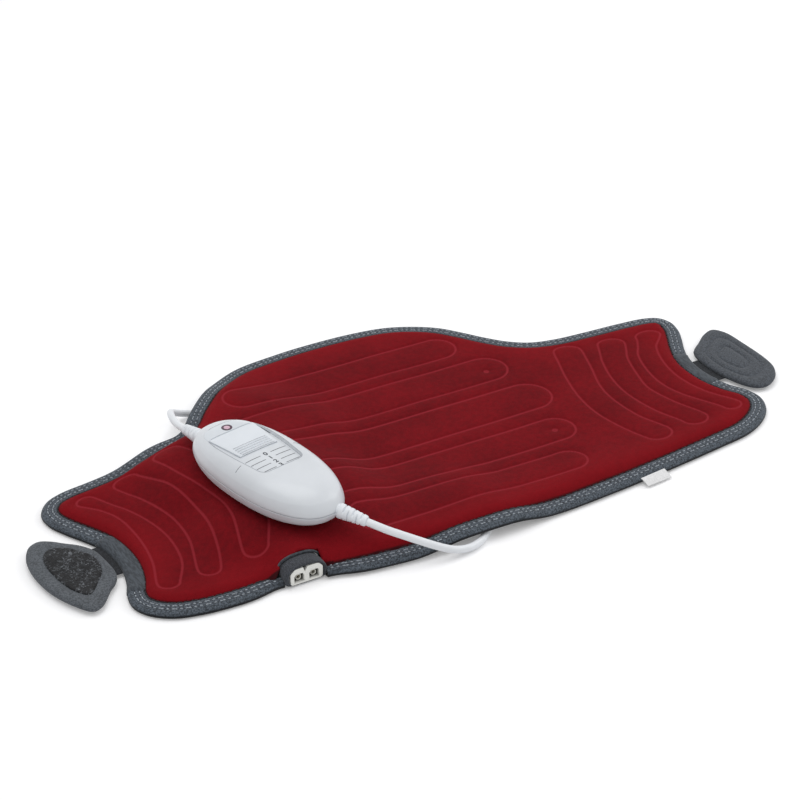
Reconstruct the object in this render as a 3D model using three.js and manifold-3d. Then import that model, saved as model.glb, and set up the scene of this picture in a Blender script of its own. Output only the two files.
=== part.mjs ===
// A shaped heating pad with its slide-switch controller, mains lead and pad lead, in millimetres, +Z up.
// The pad lies on the surface at z = 0 over its stored mains lead, and the controller rests on the pad.
import * as THREE from 'three';
import { mergeVertices } from 'three/addons/utils/BufferGeometryUtils.js';
import Module from 'manifold-3d';

const wasm = await Module();
wasm.setup();

// Driving dimensions of the pad
const padHalfLength = 272;
const padHalfDepth = 148.5;
const gap = 0.3;
const rimLegThick = 0.8;
const bindingWidth = 11.8;
const bindingHeight = 5.2;
const coverEdgeInset = 2.0;
const coverThick = 2.2;
const bottomCoverThick = 1.1;
const coverRimThick = 1.5;
const lowerFleeceThick = 1.4;
const upperFleeceThick = 0.7;
const wireDiameter = 1.6;
const wireClearance = 0.4;
const crownInset = 3.4;
const rimSamples = 88;

// Driving dimensions of the leads, as they lie on the surface
const leadDiameter = 5.4;
const leadRest = 0.2;
const coilInnerRadius = 22.4;
const coilPitch = 5.95;
const coilInTurns = 3.5;
const coilOutTurns = 3.25;
const coilTurnSteps = 24;
const coilCentre = new THREE.Vector2(-116, -55);
const plugLength = 32;
const plugWidth = 35.3;
const plugThick = 13;
const plugX = -150;
const plugBack = 25;
const pinDiameter = 4;
const pinLength = 19;
const pinSpacing = 18.6;
const plugReliefLength = 8;
const couplingLength = 34;
const couplingWidth = 22;
const couplingThick = 10;
const couplingCentre = new THREE.Vector2(-112, 4.5);

// Driving dimensions of the controller
const caseHalfLength = 69.7;
const caseHalfWidth = 32.7;
const seamHeight = 11;
const caseHeight = 26.4;
const caseWall = 2.2;
const switchTravel = 17.7;
const caseYaw = THREE.MathUtils.degToRad(10.8);
const caseCentre = new THREE.Vector2(-127.9, -44.1);

// Helpers that turn three.js geometry into solids and back
function toSolid(geometry) {
  const plain = new THREE.BufferGeometry();
  const source = geometry.index ? geometry.toNonIndexed() : geometry;
  plain.setAttribute('position', source.getAttribute('position'));
  const merged = mergeVertices(plain, 1e-4);
  return new wasm.Manifold(new wasm.Mesh({
    numProp: 3,
    vertProperties: new Float32Array(merged.attributes.position.array),
    triVerts: new Uint32Array(merged.index.array),
  }));
}

function toGeometry(solid) {
  const mesh = solid.getMesh();
  const geometry = new THREE.BufferGeometry();
  geometry.setAttribute('position', new THREE.BufferAttribute(mesh.vertProperties, 3));
  geometry.setIndex(new THREE.BufferAttribute(mesh.triVerts, 1));
  return geometry;
}

function cut(geometry, ...cutters) {
  let solid = toSolid(geometry);
  for (const cutter of cutters) solid = solid.subtract(toSolid(cutter));
  return toGeometry(solid);
}

function join(geometry, ...others) {
  let solid = toSolid(geometry);
  for (const other of others) solid = solid.add(toSolid(other));
  return toGeometry(solid);
}

function box(low, high) {
  const geometry = new THREE.BoxGeometry(high[0] - low[0], high[1] - low[1], high[2] - low[2]);
  return geometry.translate((low[0] + high[0]) / 2, (low[1] + high[1]) / 2, (low[2] + high[2]) / 2);
}

function meshFrom(points, triangles) {
  const geometry = new THREE.BufferGeometry();
  const numbers = points.flatMap((p) => [p.x, p.y, p.z]);
  geometry.setAttribute('position', new THREE.Float32BufferAttribute(numbers, 3));
  geometry.setIndex(triangles.flat());
  return geometry;
}

// A body between closed loops of points that follow each other, closed by the flat faces of its two ends
function loft(loops) {
  const count = loops[0].length;
  const points = loops.flat();
  const triangles = [];
  for (let row = 0; row + 1 < loops.length; row += 1) {
    for (let k = 0; k < count; k += 1) {
      const a = row * count + k;
      const b = row * count + ((k + 1) % count);
      triangles.push([a, b, b + count], [a, b + count, a + count]);
    }
  }
  const last = (loops.length - 1) * count;
  for (const [a, b, c] of capFaces(loops[0])) triangles.push([a, c, b]);
  for (const [a, b, c] of capFaces(loops[loops.length - 1])) triangles.push([last + a, last + b, last + c]);
  return meshFrom(points, triangles);
}

// The faces that close a flat loop, which is level or convex
function capFaces(loop) {
  const level = loop.every((p) => Math.abs(p.z - loop[0].z) < 1e-6);
  if (level) {
    const faces = THREE.ShapeUtils.triangulateShape(loop.map((p) => new THREE.Vector2(p.x, p.y)), []);
    if (THREE.ShapeUtils.isClockWise(loop)) return faces.map(([a, b, c]) => [a, c, b]);
    return faces;
  }
  return loop.slice(2).map((p, i) => [0, i + 1, i + 2]);
}

// A tube whose rings stand at the given points, closed at both ends
function tubeThrough(points, radius, sides) {
  const loops = [];
  for (let i = 0; i < points.length; i += 1) {
    const before = points[Math.max(i - 1, 0)];
    const after = points[Math.min(i + 1, points.length - 1)];
    const along = after.clone().sub(before).normalize();
    const side = new THREE.Vector3(0, 0, 1).cross(along).normalize();
    const up = along.clone().cross(side);
    const into = points[i].clone().sub(before).normalize();
    const lean = i === 0 ? 1 : Math.max(into.dot(along), 0.7);
    const loop = [];
    for (let k = 0; k < sides; k += 1) {
      const angle = (2 * Math.PI * (k + 0.5)) / sides;
      const sideways = side.clone().multiplyScalar((Math.cos(angle) * radius) / lean);
      loop.push(points[i].clone().add(sideways).addScaledVector(up, Math.sin(angle) * radius));
    }
    loops.push(loop);
  }
  return loft(loops);
}

function circleShape(radius, sides) {
  const corners = [];
  for (let k = 0; k < sides; k += 1) {
    const angle = (2 * Math.PI * (k + 0.5)) / sides;
    corners.push(new THREE.Vector2(radius * Math.cos(angle), radius * Math.sin(angle)));
  }
  return new THREE.Shape(corners);
}

// A round lead along a smooth curve, as an extrusion of an eight-sided section
function lead(curve, diameter, steps) {
  return new THREE.ExtrudeGeometry(circleShape(diameter / 2, 8), { steps, extrudePath: curve });
}

function prism(outline, low, high) {
  const geometry = new THREE.ExtrudeGeometry(new THREE.Shape(outline), {
    depth: high - low,
    bevelEnabled: false,
  });
  return geometry.translate(0, 0, low);
}

// The pad's outline, in shares of its half length and half depth, from the front centre round by the right
const outlineShares = [
  [0, -1], [0.184, -0.99], [0.368, -0.966], [0.551, -0.929], [0.717, -0.889], [0.827, -0.855],
  [0.893, -0.798], [0.941, -0.717], [0.963, -0.623], [0.956, -0.529], [0.93, -0.441], [0.914, -0.34],
  [0.91, -0.232], [0.919, -0.125], [0.941, -0.024], [0.971, 0.077], [0.993, 0.165], [1, 0.253],
  [0.982, 0.323], [0.941, 0.359], [0.864, 0.377], [0.735, 0.391], [0.643, 0.407], [0.577, 0.441],
  [0.526, 0.508], [0.482, 0.603], [0.441, 0.71], [0.397, 0.811], [0.338, 0.892], [0.257, 0.96],
  [0.147, 0.993], [0, 1], [-0.092, 0.99], [-0.221, 0.956], [-0.294, 0.892], [-0.371, 0.774],
  [-0.452, 0.62], [-0.493, 0.532], [-0.529, 0.478], [-0.596, 0.434], [-0.669, 0.394], [-0.743, 0.364],
  [-0.827, 0.34], [-0.904, 0.316], [-0.952, 0.273], [-0.982, 0.192], [-0.982, 0.098], [-0.96, -0.003],
  [-0.934, -0.094], [-0.91, -0.192], [-0.901, -0.293], [-0.903, -0.407], [-0.917, -0.512],
  [-0.939, -0.609], [-0.943, -0.69], [-0.923, -0.771], [-0.875, -0.842], [-0.809, -0.879],
  [-0.717, -0.896], [-0.607, -0.899], [-0.46, -0.939], [-0.331, -0.97], [-0.184, -0.993],
];
const outlineCurve = new THREE.CatmullRomCurve3(
  outlineShares.map(([x, y]) => new THREE.Vector3(x * padHalfLength, y * padHalfDepth, 0)),
  true,
  'centripetal',
);

function rimPoint(k, inset) {
  const share = k / rimSamples;
  const point = outlineCurve.getPointAt(share);
  const along = outlineCurve.getTangentAt(share);
  return new THREE.Vector2(point.x - along.y * inset, point.y + along.x * inset);
}

// How high the pad is lifted by what lies under it: the coil, the plug, the coupling and two lead runs
const plugHumpHeight = plugThick + leadRest + gap;
const humps = [
  { centre: coilCentre, half: [47, 47], corner: 47, height: plugHumpHeight, fall: 32 },
  { centre: new THREE.Vector2(plugX + 1, 14), half: [22, 28], corner: 9, height: plugHumpHeight, fall: 32 },
  { centre: new THREE.Vector2(-108, 4.5), half: [27, 15], corner: 6, height: couplingThick + leadRest + gap + 0.4, fall: 30 },
];
const ridgeHeight = leadDiameter + leadRest + gap + 0.7;
const ridgeHalf = 17;
const ridgeFall = 28;
const liftSharpness = 10;

// The pad lead's route, from the strain relief over the back edge and under the pad to its coupling
const padLeadRoute = [
  [-148.6, 42.9, 28.85], [-149.1, 52.5, 27.2], [-148.6, 62, 26], [-146.4, 71.5, 24.2],
  [-143, 80.8, 21], [-138.8, 89, 16.4], [-133.8, 95.6, 11.2], [-128, 99.6, 7],
  [-121.6, 100.9, 4.1], [-113.8, 98, 3], [-105.1, 92.3, 2.9], [-95.6, 83.4, 2.9], [-86.3, 72.2, 2.9],
  [-77.5, 60, 2.9], [-70, 48, 2.9], [-66.2, 37, 2.9], [-65.5, 26.5, 2.9], [-67.9, 16, 3.2],
  [-73.4, 8.6, 3.8], [-79.8, 5.2, 4.7], [-86.4, 4.5, 5.2],
].map(([x, y, z]) => new THREE.Vector3(x, y, z));

// The mains lead's route, from the strain relief over the front edge and under the pad to its coil
const mainsLeadRoute = [
  [-95, -124.95, 28.85], [-90.4, -130.6, 27.2], [-84.8, -136, 24.9], [-78.2, -140.6, 22.1],
  [-71.2, -144.6, 18.9], [-64.2, -147.9, 15.5], [-57.6, -150.4, 12.2], [-51.2, -152.3, 9.1],
  [-45, -153.5, 6.5], [-38.9, -153.9, 4.6], [-32.6, -153.8, 3.6], [-26.1, -152.2, 3.1],
  [-19.6, -149.2, 2.9], [-13.2, -144.4, 2.9], [-7.7, -138.3, 2.9], [-3.8, -131.5, 2.9],
  [-2.2, -124.5, 2.9], [-2.8, -117.7, 2.9], [-5.1, -111.4, 2.9], [-9, -106.1, 2.9],
  [-14.3, -102, 2.9], [-21, -99.5, 2.9], [-31.3, -98.3, 2.9], [-50, -98.2, 2.9], [-80, -98.2, 2.9],
  [-104.3, -98.05, 2.9],
].map(([x, y, z]) => new THREE.Vector3(x, y, z));

function fall(distance, width) {
  const share = Math.min(Math.max(distance / width, 0), 1);
  return (1 + Math.cos(Math.PI * share)) / 2;
}

function boxDistance(x, y, centre, half, corner) {
  const dx = Math.max(Math.abs(x - centre.x) - half.x + corner, 0);
  const dy = Math.max(Math.abs(y - centre.y) - half.y + corner, 0);
  return Math.hypot(dx, dy) - corner;
}

function routeDistance(x, y, route) {
  let nearest = Infinity;
  for (let i = 0; i + 1 < route.length; i += 1) {
    const line = new THREE.Line3(
      new THREE.Vector3(route[i].x, route[i].y, 0),
      new THREE.Vector3(route[i + 1].x, route[i + 1].y, 0),
    );
    const here = new THREE.Vector3(x, y, 0);
    const closest = line.closestPointToPoint(here, true, new THREE.Vector3());
    nearest = Math.min(nearest, closest.distanceTo(here));
  }
  return nearest;
}

const underPadLead = padLeadRoute.slice(8);
const underMainsLead = mainsLeadRoute.slice(12);

function liftAt(x, y) {
  const heights = humps.map((h) => {
    const away = boxDistance(x, y, h.centre, { x: h.half[0], y: h.half[1] }, h.corner);
    return h.height * fall(away, h.fall);
  });
  for (const route of [underPadLead, underMainsLead]) {
    heights.push(ridgeHeight * fall(routeDistance(x, y, route) - ridgeHalf, ridgeFall));
  }
  return heights.reduce((sum, h) => sum + h ** liftSharpness, 0) ** (1 / liftSharpness);
}

// The pad's plan mesh, shared by every layer: rings along the rim, and a grid over what lies underneath
const rimInsets = [0, coverEdgeInset, bindingWidth + gap, bindingWidth + gap + crownInset];
const innerInset = rimInsets[3];
const roomHalfLength = padHalfLength - innerInset;
const roomHalfDepth = padHalfDepth - innerInset;
const gridColumns = [
  [-0.8377, -0.8318, 0.201], [-0.7741, -0.8374, 0.2233], [-0.7105, -0.8374, 0.2456],
  [-0.6575, -0.8374, 0.2736], [-0.6097, -0.8374, 0.3015], [-0.562, -0.8374, 0.3461],
  [-0.5143, -0.843, 0.402], [-0.4666, -0.8542, 0.4801], [-0.4189, -0.8709, 0.5806],
  [-0.3712, -0.8932, 0.6699], [-0.3234, -0.91, 0.7592], [-0.2757, -0.9211, 0.8262],
  [-0.228, -0.9323, 0.8821], [-0.175, -0.9435, 0.9156], [-0.1166, -0.9491, 0.9379],
  [-0.053, -0.9546, 0.9602], [0.0212, -0.9546, 0.9658], [0.106, -0.9546, 0.9658],
];
const gridRowShares = [0, 0.07, 0.15, 0.23, 0.31, 0.39, 0.47, 0.55, 0.63, 0.71, 0.8, 0.9, 1];

const innerRing = [];
for (let k = 0; k < rimSamples; k += 1) innerRing.push(rimPoint(k, innerInset));
const rows = gridRowShares.length;
const gridPoints = gridColumns.flatMap(([x, front, back]) => gridRowShares.map((share) => (
  new THREE.Vector2(x * roomHalfLength, (front + (back - front) * share) * roomHalfDepth)
)));
const gridLoop = [];
for (let c = 0; c < gridColumns.length; c += 1) gridLoop.push(c * rows);
for (let r = 1; r < rows; r += 1) gridLoop.push((gridColumns.length - 1) * rows + r);
for (let c = gridColumns.length - 2; c >= 0; c -= 1) gridLoop.push(c * rows + rows - 1);
for (let r = rows - 2; r > 0; r -= 1) gridLoop.push(r);

const planPoints = [...innerRing, ...gridPoints];
const planLift = planPoints.map((p) => liftAt(p.x, p.y));
const planTriangles = [];

function addPlanTriangle(a, b, c) {
  const [p, q, r] = [planPoints[a], planPoints[b], planPoints[c]];
  const area = (q.x - p.x) * (r.y - p.y) - (r.x - p.x) * (q.y - p.y);
  planTriangles.push(area > 0 ? [a, b, c] : [a, c, b]);
}

const gridHole = gridLoop.map((i) => gridPoints[i]);
for (const face of THREE.ShapeUtils.triangulateShape(innerRing, [gridHole])) {
  const [a, b, c] = face.map((i) => (i < rimSamples ? i : rimSamples + gridLoop[i - rimSamples]));
  addPlanTriangle(a, b, c);
}
for (let c = 0; c + 1 < gridColumns.length; c += 1) {
  for (let r = 0; r + 1 < rows; r += 1) {
    const a = rimSamples + c * rows + r;
    addPlanTriangle(a, a + rows, a + rows + 1);
    addPlanTriangle(a, a + rows + 1, a + 1);
  }
}

// The lift of the faceted pad at a place inside its inner ring
function facetLift(x, y) {
  for (const [a, b, c] of planTriangles) {
    const [p, q, r] = [planPoints[a], planPoints[b], planPoints[c]];
    const whole = (q.x - p.x) * (r.y - p.y) - (r.x - p.x) * (q.y - p.y);
    const atQ = ((x - p.x) * (r.y - p.y) - (r.x - p.x) * (y - p.y)) / whole;
    const atR = ((q.x - p.x) * (y - p.y) - (x - p.x) * (q.y - p.y)) / whole;
    if (atQ >= -1e-6 && atR >= -1e-6 && atQ + atR <= 1 + 1e-6) {
      return planLift[a] + atQ * (planLift[b] - planLift[a]) + atR * (planLift[c] - planLift[a]);
    }
  }
  return liftAt(x, y);
}

const rimLift = [];
for (let k = 0; k < rimSamples; k += 1) {
  const middle = rimPoint(k, bindingWidth / 2);
  rimLift.push(liftAt(middle.x, middle.y));
}

// One layer of the pad: each level of its rim has an inset, an underside and a top, and the last is the inner ring
function layer(levels, underside, top) {
  const points = [];
  const triangles = [];
  const outer = levels.length - 1;
  for (let i = 0; i < outer; i += 1) {
    for (let k = 0; k < rimSamples; k += 1) {
      const p = rimPoint(k, levels[i][0]);
      points.push(new THREE.Vector3(p.x, p.y, levels[i][1] + rimLift[k]));
      points.push(new THREE.Vector3(p.x, p.y, levels[i][2] + rimLift[k]));
    }
  }
  const first = points.length;
  planPoints.forEach((p, i) => {
    points.push(new THREE.Vector3(p.x, p.y, underside + planLift[i]));
    points.push(new THREE.Vector3(p.x, p.y, top + planLift[i]));
  });
  const place = (level, k) => (level < outer ? 2 * (level * rimSamples + k) : first + 2 * k);
  for (let i = 0; i < outer; i += 1) {
    for (let k = 0; k < rimSamples; k += 1) {
      const next = (k + 1) % rimSamples;
      const [a, b, c, d] = [place(i, k), place(i, next), place(i + 1, next), place(i + 1, k)];
      triangles.push([a + 1, b + 1, c + 1], [a + 1, c + 1, d + 1], [a, c, b], [a, d, c]);
    }
  }
  for (let k = 0; k < rimSamples; k += 1) {
    const [a, b] = [place(0, k), place(0, (k + 1) % rimSamples)];
    triangles.push([a, b, b + 1], [a, b + 1, a + 1]);
  }
  for (const [a, b, c] of planTriangles) {
    const [p, q, r] = [first + 2 * a, first + 2 * b, first + 2 * c];
    triangles.push([p, r, q], [p + 1, q + 1, r + 1]);
  }
  return meshFrom(points, triangles);
}

// The heights of the pad's layers, from the surface up
const lowerFleeceBase = bottomCoverThick + gap;
const wireBase = lowerFleeceBase + lowerFleeceThick + wireClearance;
const upperFleeceBase = wireBase + wireDiameter + wireClearance;
const topCoverBase = upperFleeceBase + upperFleeceThick + gap;
const padTop = topCoverBase + coverThick;
const bottomRimBase = rimLegThick + gap;
const topRimBase = bottomRimBase + rimLegThick + gap;
const topRimTop = topRimBase + coverRimThick;

function bottomCoverGeometry() {
  return layer([
    [rimInsets[1], bottomRimBase, bottomRimBase + rimLegThick],
    [rimInsets[2], bottomRimBase, bottomRimBase + rimLegThick],
    [rimInsets[3]],
  ], 0, bottomCoverThick);
}

function topCoverGeometry() {
  return layer([
    [rimInsets[1], topRimBase, topRimTop],
    [rimInsets[2], topRimBase, topRimTop],
    [rimInsets[3]],
  ], topCoverBase, padTop);
}

function fleeceGeometry(base, thick) {
  return layer([[rimInsets[3]]], base, base + thick);
}

// The binding folds round the rim of both covers
function bindingGeometry() {
  const section = [
    [0, 0, 0], [2, 0, 0], [2, 0, rimLegThick], [1, -0.4, rimLegThick], [1, -0.4, topRimTop + gap],
    [2, 0, topRimTop + gap], [2, 0, bindingHeight], [0, 0, bindingHeight - rimLegThick],
  ];
  const insets = [0, coverEdgeInset, bindingWidth];
  const points = [];
  const triangles = [];
  for (let k = 0; k < rimSamples; k += 1) {
    for (const [level, shift, height] of section) {
      const p = rimPoint(k, insets[level] + shift);
      points.push(new THREE.Vector3(p.x, p.y, height + rimLift[k]));
    }
  }
  for (let k = 0; k < rimSamples; k += 1) {
    const next = (k + 1) % rimSamples;
    for (let i = 0; i < section.length; i += 1) {
      const j = (i + 1) % section.length;
      const [a, b] = [k * section.length + i, k * section.length + j];
      const [c, d] = [next * section.length + j, next * section.length + i];
      triangles.push([a, b, c], [a, c, d]);
    }
  }
  return meshFrom(points, triangles);
}

const group = new THREE.Group();

function add(name, geometry, color, roughness = 0.8, metalness = 0) {
  const material = new THREE.MeshStandardMaterial({ color, roughness, metalness });
  const mesh = new THREE.Mesh(geometry, material);
  mesh.name = name;
  group.add(mesh);
  return mesh;
}

// The socket on the front edge, in a notch of the pad
const socketCentreX = -0.5294 * padHalfLength;
const socketHalfWidth = 16;
const socketFront = -0.8822 * padHalfDepth;
const socketDepth = 25;
const socketBack = socketFront + socketDepth;
const socketTop = 14.6;
const housingHalfWidth = 12.6;
const housingBase = 1.6;
const housingTop = 12.4;
const housingBack = socketBack - 3;
const sleeveWall = 1.5;
const contactRoom = [7.6, 12, 7.4];
const contactSpacing = 11;

const socketNotch = box(
  [socketCentreX - socketHalfWidth - gap, -padHalfDepth, -1],
  [socketCentreX + socketHalfWidth + gap, socketBack + gap, 4 * socketTop],
);

// The tag sewn into the front edge
const tagSpan = [0.4301, 0.5147].map((share) => share * padHalfLength);
const tagFront = -0.9966 * padHalfDepth;
const tagBack = -0.9441 * padHalfDepth;
const tagBase = 2;
const tagThick = 0.6;
const tagSlot = box(
  [tagSpan[0] - gap, -padHalfDepth, tagBase - gap],
  [tagSpan[1] + gap, tagBack + gap, tagBase + tagThick + gap],
);

const felt = 0x4b5055;
add('bottom_cover', cut(bottomCoverGeometry(), socketNotch), 0x2c2f33, 0.95);
add('lower_fleece', cut(fleeceGeometry(lowerFleeceBase, lowerFleeceThick), socketNotch), 0xd8d4cc, 0.95);
add('upper_fleece', cut(fleeceGeometry(upperFleeceBase, upperFleeceThick), socketNotch), 0xd8d4cc, 0.95);
add('top_cover', cut(topCoverGeometry(), socketNotch), 0x77131d, 0.95);
add('edge_binding', cut(bindingGeometry(), socketNotch, tagSlot), felt, 0.9);
add('label_tag', box([tagSpan[0], tagFront, tagBase], [tagSpan[1], tagBack, tagBase + tagThick]), 0xe8e8e6, 0.7);

function socketHousingGeometry() {
  const low = [socketCentreX - housingHalfWidth, socketFront, housingBase];
  const high = [socketCentreX + housingHalfWidth, housingBack, housingTop];
  const middle = (housingBase + housingTop) / 2;
  const rooms = [-1, 1].map((side) => {
    const x = socketCentreX + (side * contactSpacing) / 2;
    const [wide, deep, tall] = contactRoom;
    return box(
      [x - wide / 2, socketFront - 1, middle - tall / 2],
      [x + wide / 2, socketFront + deep, middle + tall / 2],
    );
  });
  const keyHalf = 1.5;
  const keyDepth = 1.2;
  const key = box(
    [socketCentreX - keyHalf, socketFront - 1, housingTop - keyDepth],
    [socketCentreX + keyHalf, socketFront + contactRoom[1], housingTop + 1],
  );
  return cut(box(low, high), ...rooms, key);
}

function socketSleeveGeometry() {
  const count = 9;
  const outer = [];
  const half = socketHalfWidth;
  outer.push([-half, gap], [half, gap], [half, socketTop * 0.62]);
  for (let k = 1; k < count; k += 1) {
    const angle = (Math.PI * k) / count;
    outer.push([half * Math.cos(angle), socketTop * (0.62 + 0.38 * Math.sin(angle))]);
  }
  outer.push([-half, socketTop * 0.62]);
  const shape = outer.map(([x, z]) => new THREE.Vector2(socketCentreX + x, z));
  const body = new THREE.ExtrudeGeometry(new THREE.Shape(shape), {
    depth: socketBack - socketFront - sleeveWall,
    bevelEnabled: false,
  }).rotateX(Math.PI / 2).translate(0, socketBack, 0);
  const room = box(
    [socketCentreX - housingHalfWidth - gap, socketFront - 1, housingBase - gap],
    [socketCentreX + housingHalfWidth + gap, housingBack + gap, housingTop + gap],
  );
  return cut(body, room);
}

add('socket_sleeve', socketSleeveGeometry(), felt, 0.9);
add('socket_housing', socketHousingGeometry(), 0xe9e8e2, 0.5);
const contactThick = 0.9;
const contactTall = 4.4;
const contactLong = 6;
for (const [name, side] of [['socket_contact_left', -1], ['socket_contact_right', 1]]) {
  const x = socketCentreX + (side * contactSpacing) / 2;
  const back = socketFront + contactRoom[1] - gap;
  const middle = (housingBase + housingTop) / 2;
  add(name, box(
    [x - contactThick / 2, back - contactLong, middle - contactTall / 2],
    [x + contactThick / 2, back, middle + contactTall / 2],
  ), 0xb9b2a0, 0.35, 0.9);
}

// The heating wire runs to and fro between the two fleeces, and follows the pad's lift
const wireRowShares = [
  [-0.646, -0.86, 0.87], [-0.51, -0.84, 0.86], [-0.377, -0.83, 0.84], [-0.24, -0.83, 0.83],
  [-0.108, -0.85, 0.845], [0.027, -0.875, 0.875], [0.16, -0.87, 0.87], [0.283, -0.5, 0.51],
  [0.404, -0.415, 0.43], [0.525, -0.35, 0.38], [0.646, -0.31, 0.33], [0.768, -0.22, 0.24],
];
const wireStep = 2;

function simplify(points, tolerance) {
  if (points.length < 3) return points;
  const line = new THREE.Line3(points[0], points[points.length - 1]);
  let far = 0;
  let where = 0;
  for (let i = 1; i + 1 < points.length; i += 1) {
    const away = line.closestPointToPoint(points[i], true, new THREE.Vector3()).distanceTo(points[i]);
    if (away > far) {
      far = away;
      where = i;
    }
  }
  if (far < tolerance) return [points[0], points[points.length - 1]];
  const head = simplify(points.slice(0, where + 1), tolerance);
  return [...head, ...simplify(points.slice(where), tolerance).slice(1)];
}

function heatingWireGeometry() {
  const corners = [];
  wireRowShares.forEach(([y, left, right], i) => {
    const ends = i % 2 === 0 ? [left, right] : [right, left];
    for (const x of ends) corners.push(new THREE.Vector2(x * padHalfLength, y * padHalfDepth));
  });
  const plan = [];
  corners.forEach((corner, i) => {
    if (i % 2 === 0 || i === corners.length - 1) {
      plan.push(corner);
      return;
    }
    const next = corners[i + 1];
    const out = Math.sign(corner.x);
    const reach = Math.min(corner.x * out, next.x * out);
    const bow = (next.y - corner.y) / 3;
    plan.push(new THREE.Vector2(corner.x, corner.y));
    plan.push(new THREE.Vector2(out * (Math.max(corner.x * out, reach) + bow / 2), corner.y + bow));
    plan.push(new THREE.Vector2(out * (reach + bow / 2), next.y - bow));
  });
  const centre = wireBase + wireDiameter / 2;
  const runs = [];
  for (let i = 0; i + 1 < plan.length; i += 1) {
    const length = plan[i].distanceTo(plan[i + 1]);
    const steps = Math.max(Math.ceil(length / wireStep), 1);
    const run = [];
    for (let k = 0; k <= steps; k += 1) {
      const p = plan[i].clone().lerp(plan[i + 1], k / steps);
      run.push(new THREE.Vector3(p.x, p.y, centre + facetLift(p.x, p.y)));
    }
    const kept = simplify(run, wireClearance * 0.3);
    runs.push(...(i === 0 ? kept : kept.slice(1)));
  }
  return tubeThrough(runs, wireDiameter / 2, 5);
}

add('heating_wire', heatingWireGeometry(), 0xc9b79a, 0.6);
const cutoutSize = [14, 5, wireDiameter];
const sensorSize = [7, 5, wireDiameter];
const cutoutPlace = [0.44 * padHalfLength, -0.3085 * padHalfDepth];
const sensorPlace = [0.2 * padHalfLength, 0.0935 * padHalfDepth];

function lyingBox([x, y], [long, wide, tall], base) {
  return box([x - long / 2, y - wide / 2, base], [x + long / 2, y + wide / 2, base + tall]);
}

add('thermal_cutout', lyingBox(cutoutPlace, cutoutSize, wireBase), 0xd9d6cf, 0.5);
add('temperature_sensor', lyingBox(sensorPlace, sensorSize, wireBase), 0x3b5f3e, 0.5);

// Places given as shares of the pad's half length and half depth
function onPad(placeShares) {
  return placeShares.map(([x, y]) => [x * padHalfLength, y * padHalfDepth]);
}

// The tabs beside the pad: a felt body with a strap to the pad's edge, and a hook pad
const leftTabOutline = onPad([
  [-1.0368, -0.0202], [-1.0662, -0.0404], [-1.0919, -0.1212], [-1.1029, -0.2357], [-1.0956, -0.404],
  [-1.0662, -0.5522], [-1.0331, -0.6364], [-1.0074, -0.6229], [-0.9632, -0.532], [-0.9375, -0.4848],
  [-0.9243, -0.431], [-0.9243, -0.303], [-0.932, -0.2088], [-0.954, -0.1414], [-0.9835, -0.0909],
  [-1.011, -0.0438],
]);
const leftHookOutline = onPad([
  [-1.0294, -0.1145], [-1.0515, -0.1481], [-1.0625, -0.2155], [-1.0625, -0.3098], [-1.0551, -0.404],
  [-1.0441, -0.4714], [-1.0184, -0.532], [-0.9779, -0.4579], [-0.9504, -0.3838], [-0.943, -0.3165],
  [-0.9485, -0.2492], [-0.9706, -0.1818], [-0.9926, -0.1347],
]);
const rightTabOutline = onPad([
  [0.9926, -0.0135], [0.9485, -0.0808], [0.9371, -0.1616], [0.9364, -0.2828], [0.9463, -0.3838],
  [0.9779, -0.5185], [1.011, -0.5455], [1.0588, -0.5051], [1.0919, -0.4242], [1.1029, -0.3367],
  [1.1029, -0.1347], [1.0956, 0.0135], [1.0735, 0.0673], [1.0368, 0.0471],
]);
const rightHookOutline = onPad([
  [0.9926, -0.0943], [0.9706, -0.1481], [0.9632, -0.2694], [0.9779, -0.3771], [1.0074, -0.4512],
  [1.0441, -0.4444], [1.0662, -0.3502], [1.0699, -0.1616], [1.0588, -0.0404], [1.0294, -0.0404],
]);
const tabBase = 1.7;
const tabThick = 3.6;
const hookThick = 1.2;
const strapThick = 1;

function insetLoop(outline, inset, height) {
  const centre = new THREE.Box2().setFromPoints(outline.map(([x, y]) => new THREE.Vector2(x, y)));
  const middle = centre.getCenter(new THREE.Vector2());
  const size = centre.getSize(new THREE.Vector2());
  const points = outline.map(([x, y]) => new THREE.Vector3(
    middle.x + (x - middle.x) * (1 - (2 * inset) / size.x),
    middle.y + (y - middle.y) * (1 - (2 * inset) / size.y),
    height,
  ));
  return THREE.ShapeUtils.isClockWise(points) ? points.reverse() : points;
}

function cushion(outline, base, thick, round) {
  return loft([
    insetLoop(outline, round, base),
    insetLoop(outline, 0, base + round),
    insetLoop(outline, 0, base + thick - round),
    insetLoop(outline, round, base + thick),
  ]);
}

function tabGeometry(outline, strap) {
  return join(cushion(outline, tabBase, tabThick, 0.9), strap);
}

const strapRise = 0.2;
const [leftStrapFront, leftStrapBack] = onPad([[-0.9449, -0.4242], [-0.9081, -0.3165]]);
const [rightStrapFront, rightStrapBack] = onPad([[0.9173, -0.3367], [0.9485, -0.1886]]);

function strapBetween(front, back) {
  return box([...front, tabBase + strapRise], [...back, tabBase + strapThick]);
}

const leftStrap = strapBetween(leftStrapFront, leftStrapBack);
const rightStrap = strapBetween(rightStrapFront, rightStrapBack);
add('left_tab', tabGeometry(leftTabOutline, leftStrap), felt, 0.95);
add('left_hook_pad', cushion(leftHookOutline, tabBase + tabThick + gap, hookThick, 0.3), 0x17181a, 0.95);
add('right_tab', tabGeometry(rightTabOutline, rightStrap), felt, 0.95);
add('right_hook_pad', cushion(rightHookOutline, leadRest, hookThick, 0.3), 0x17181a, 0.95);

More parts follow.
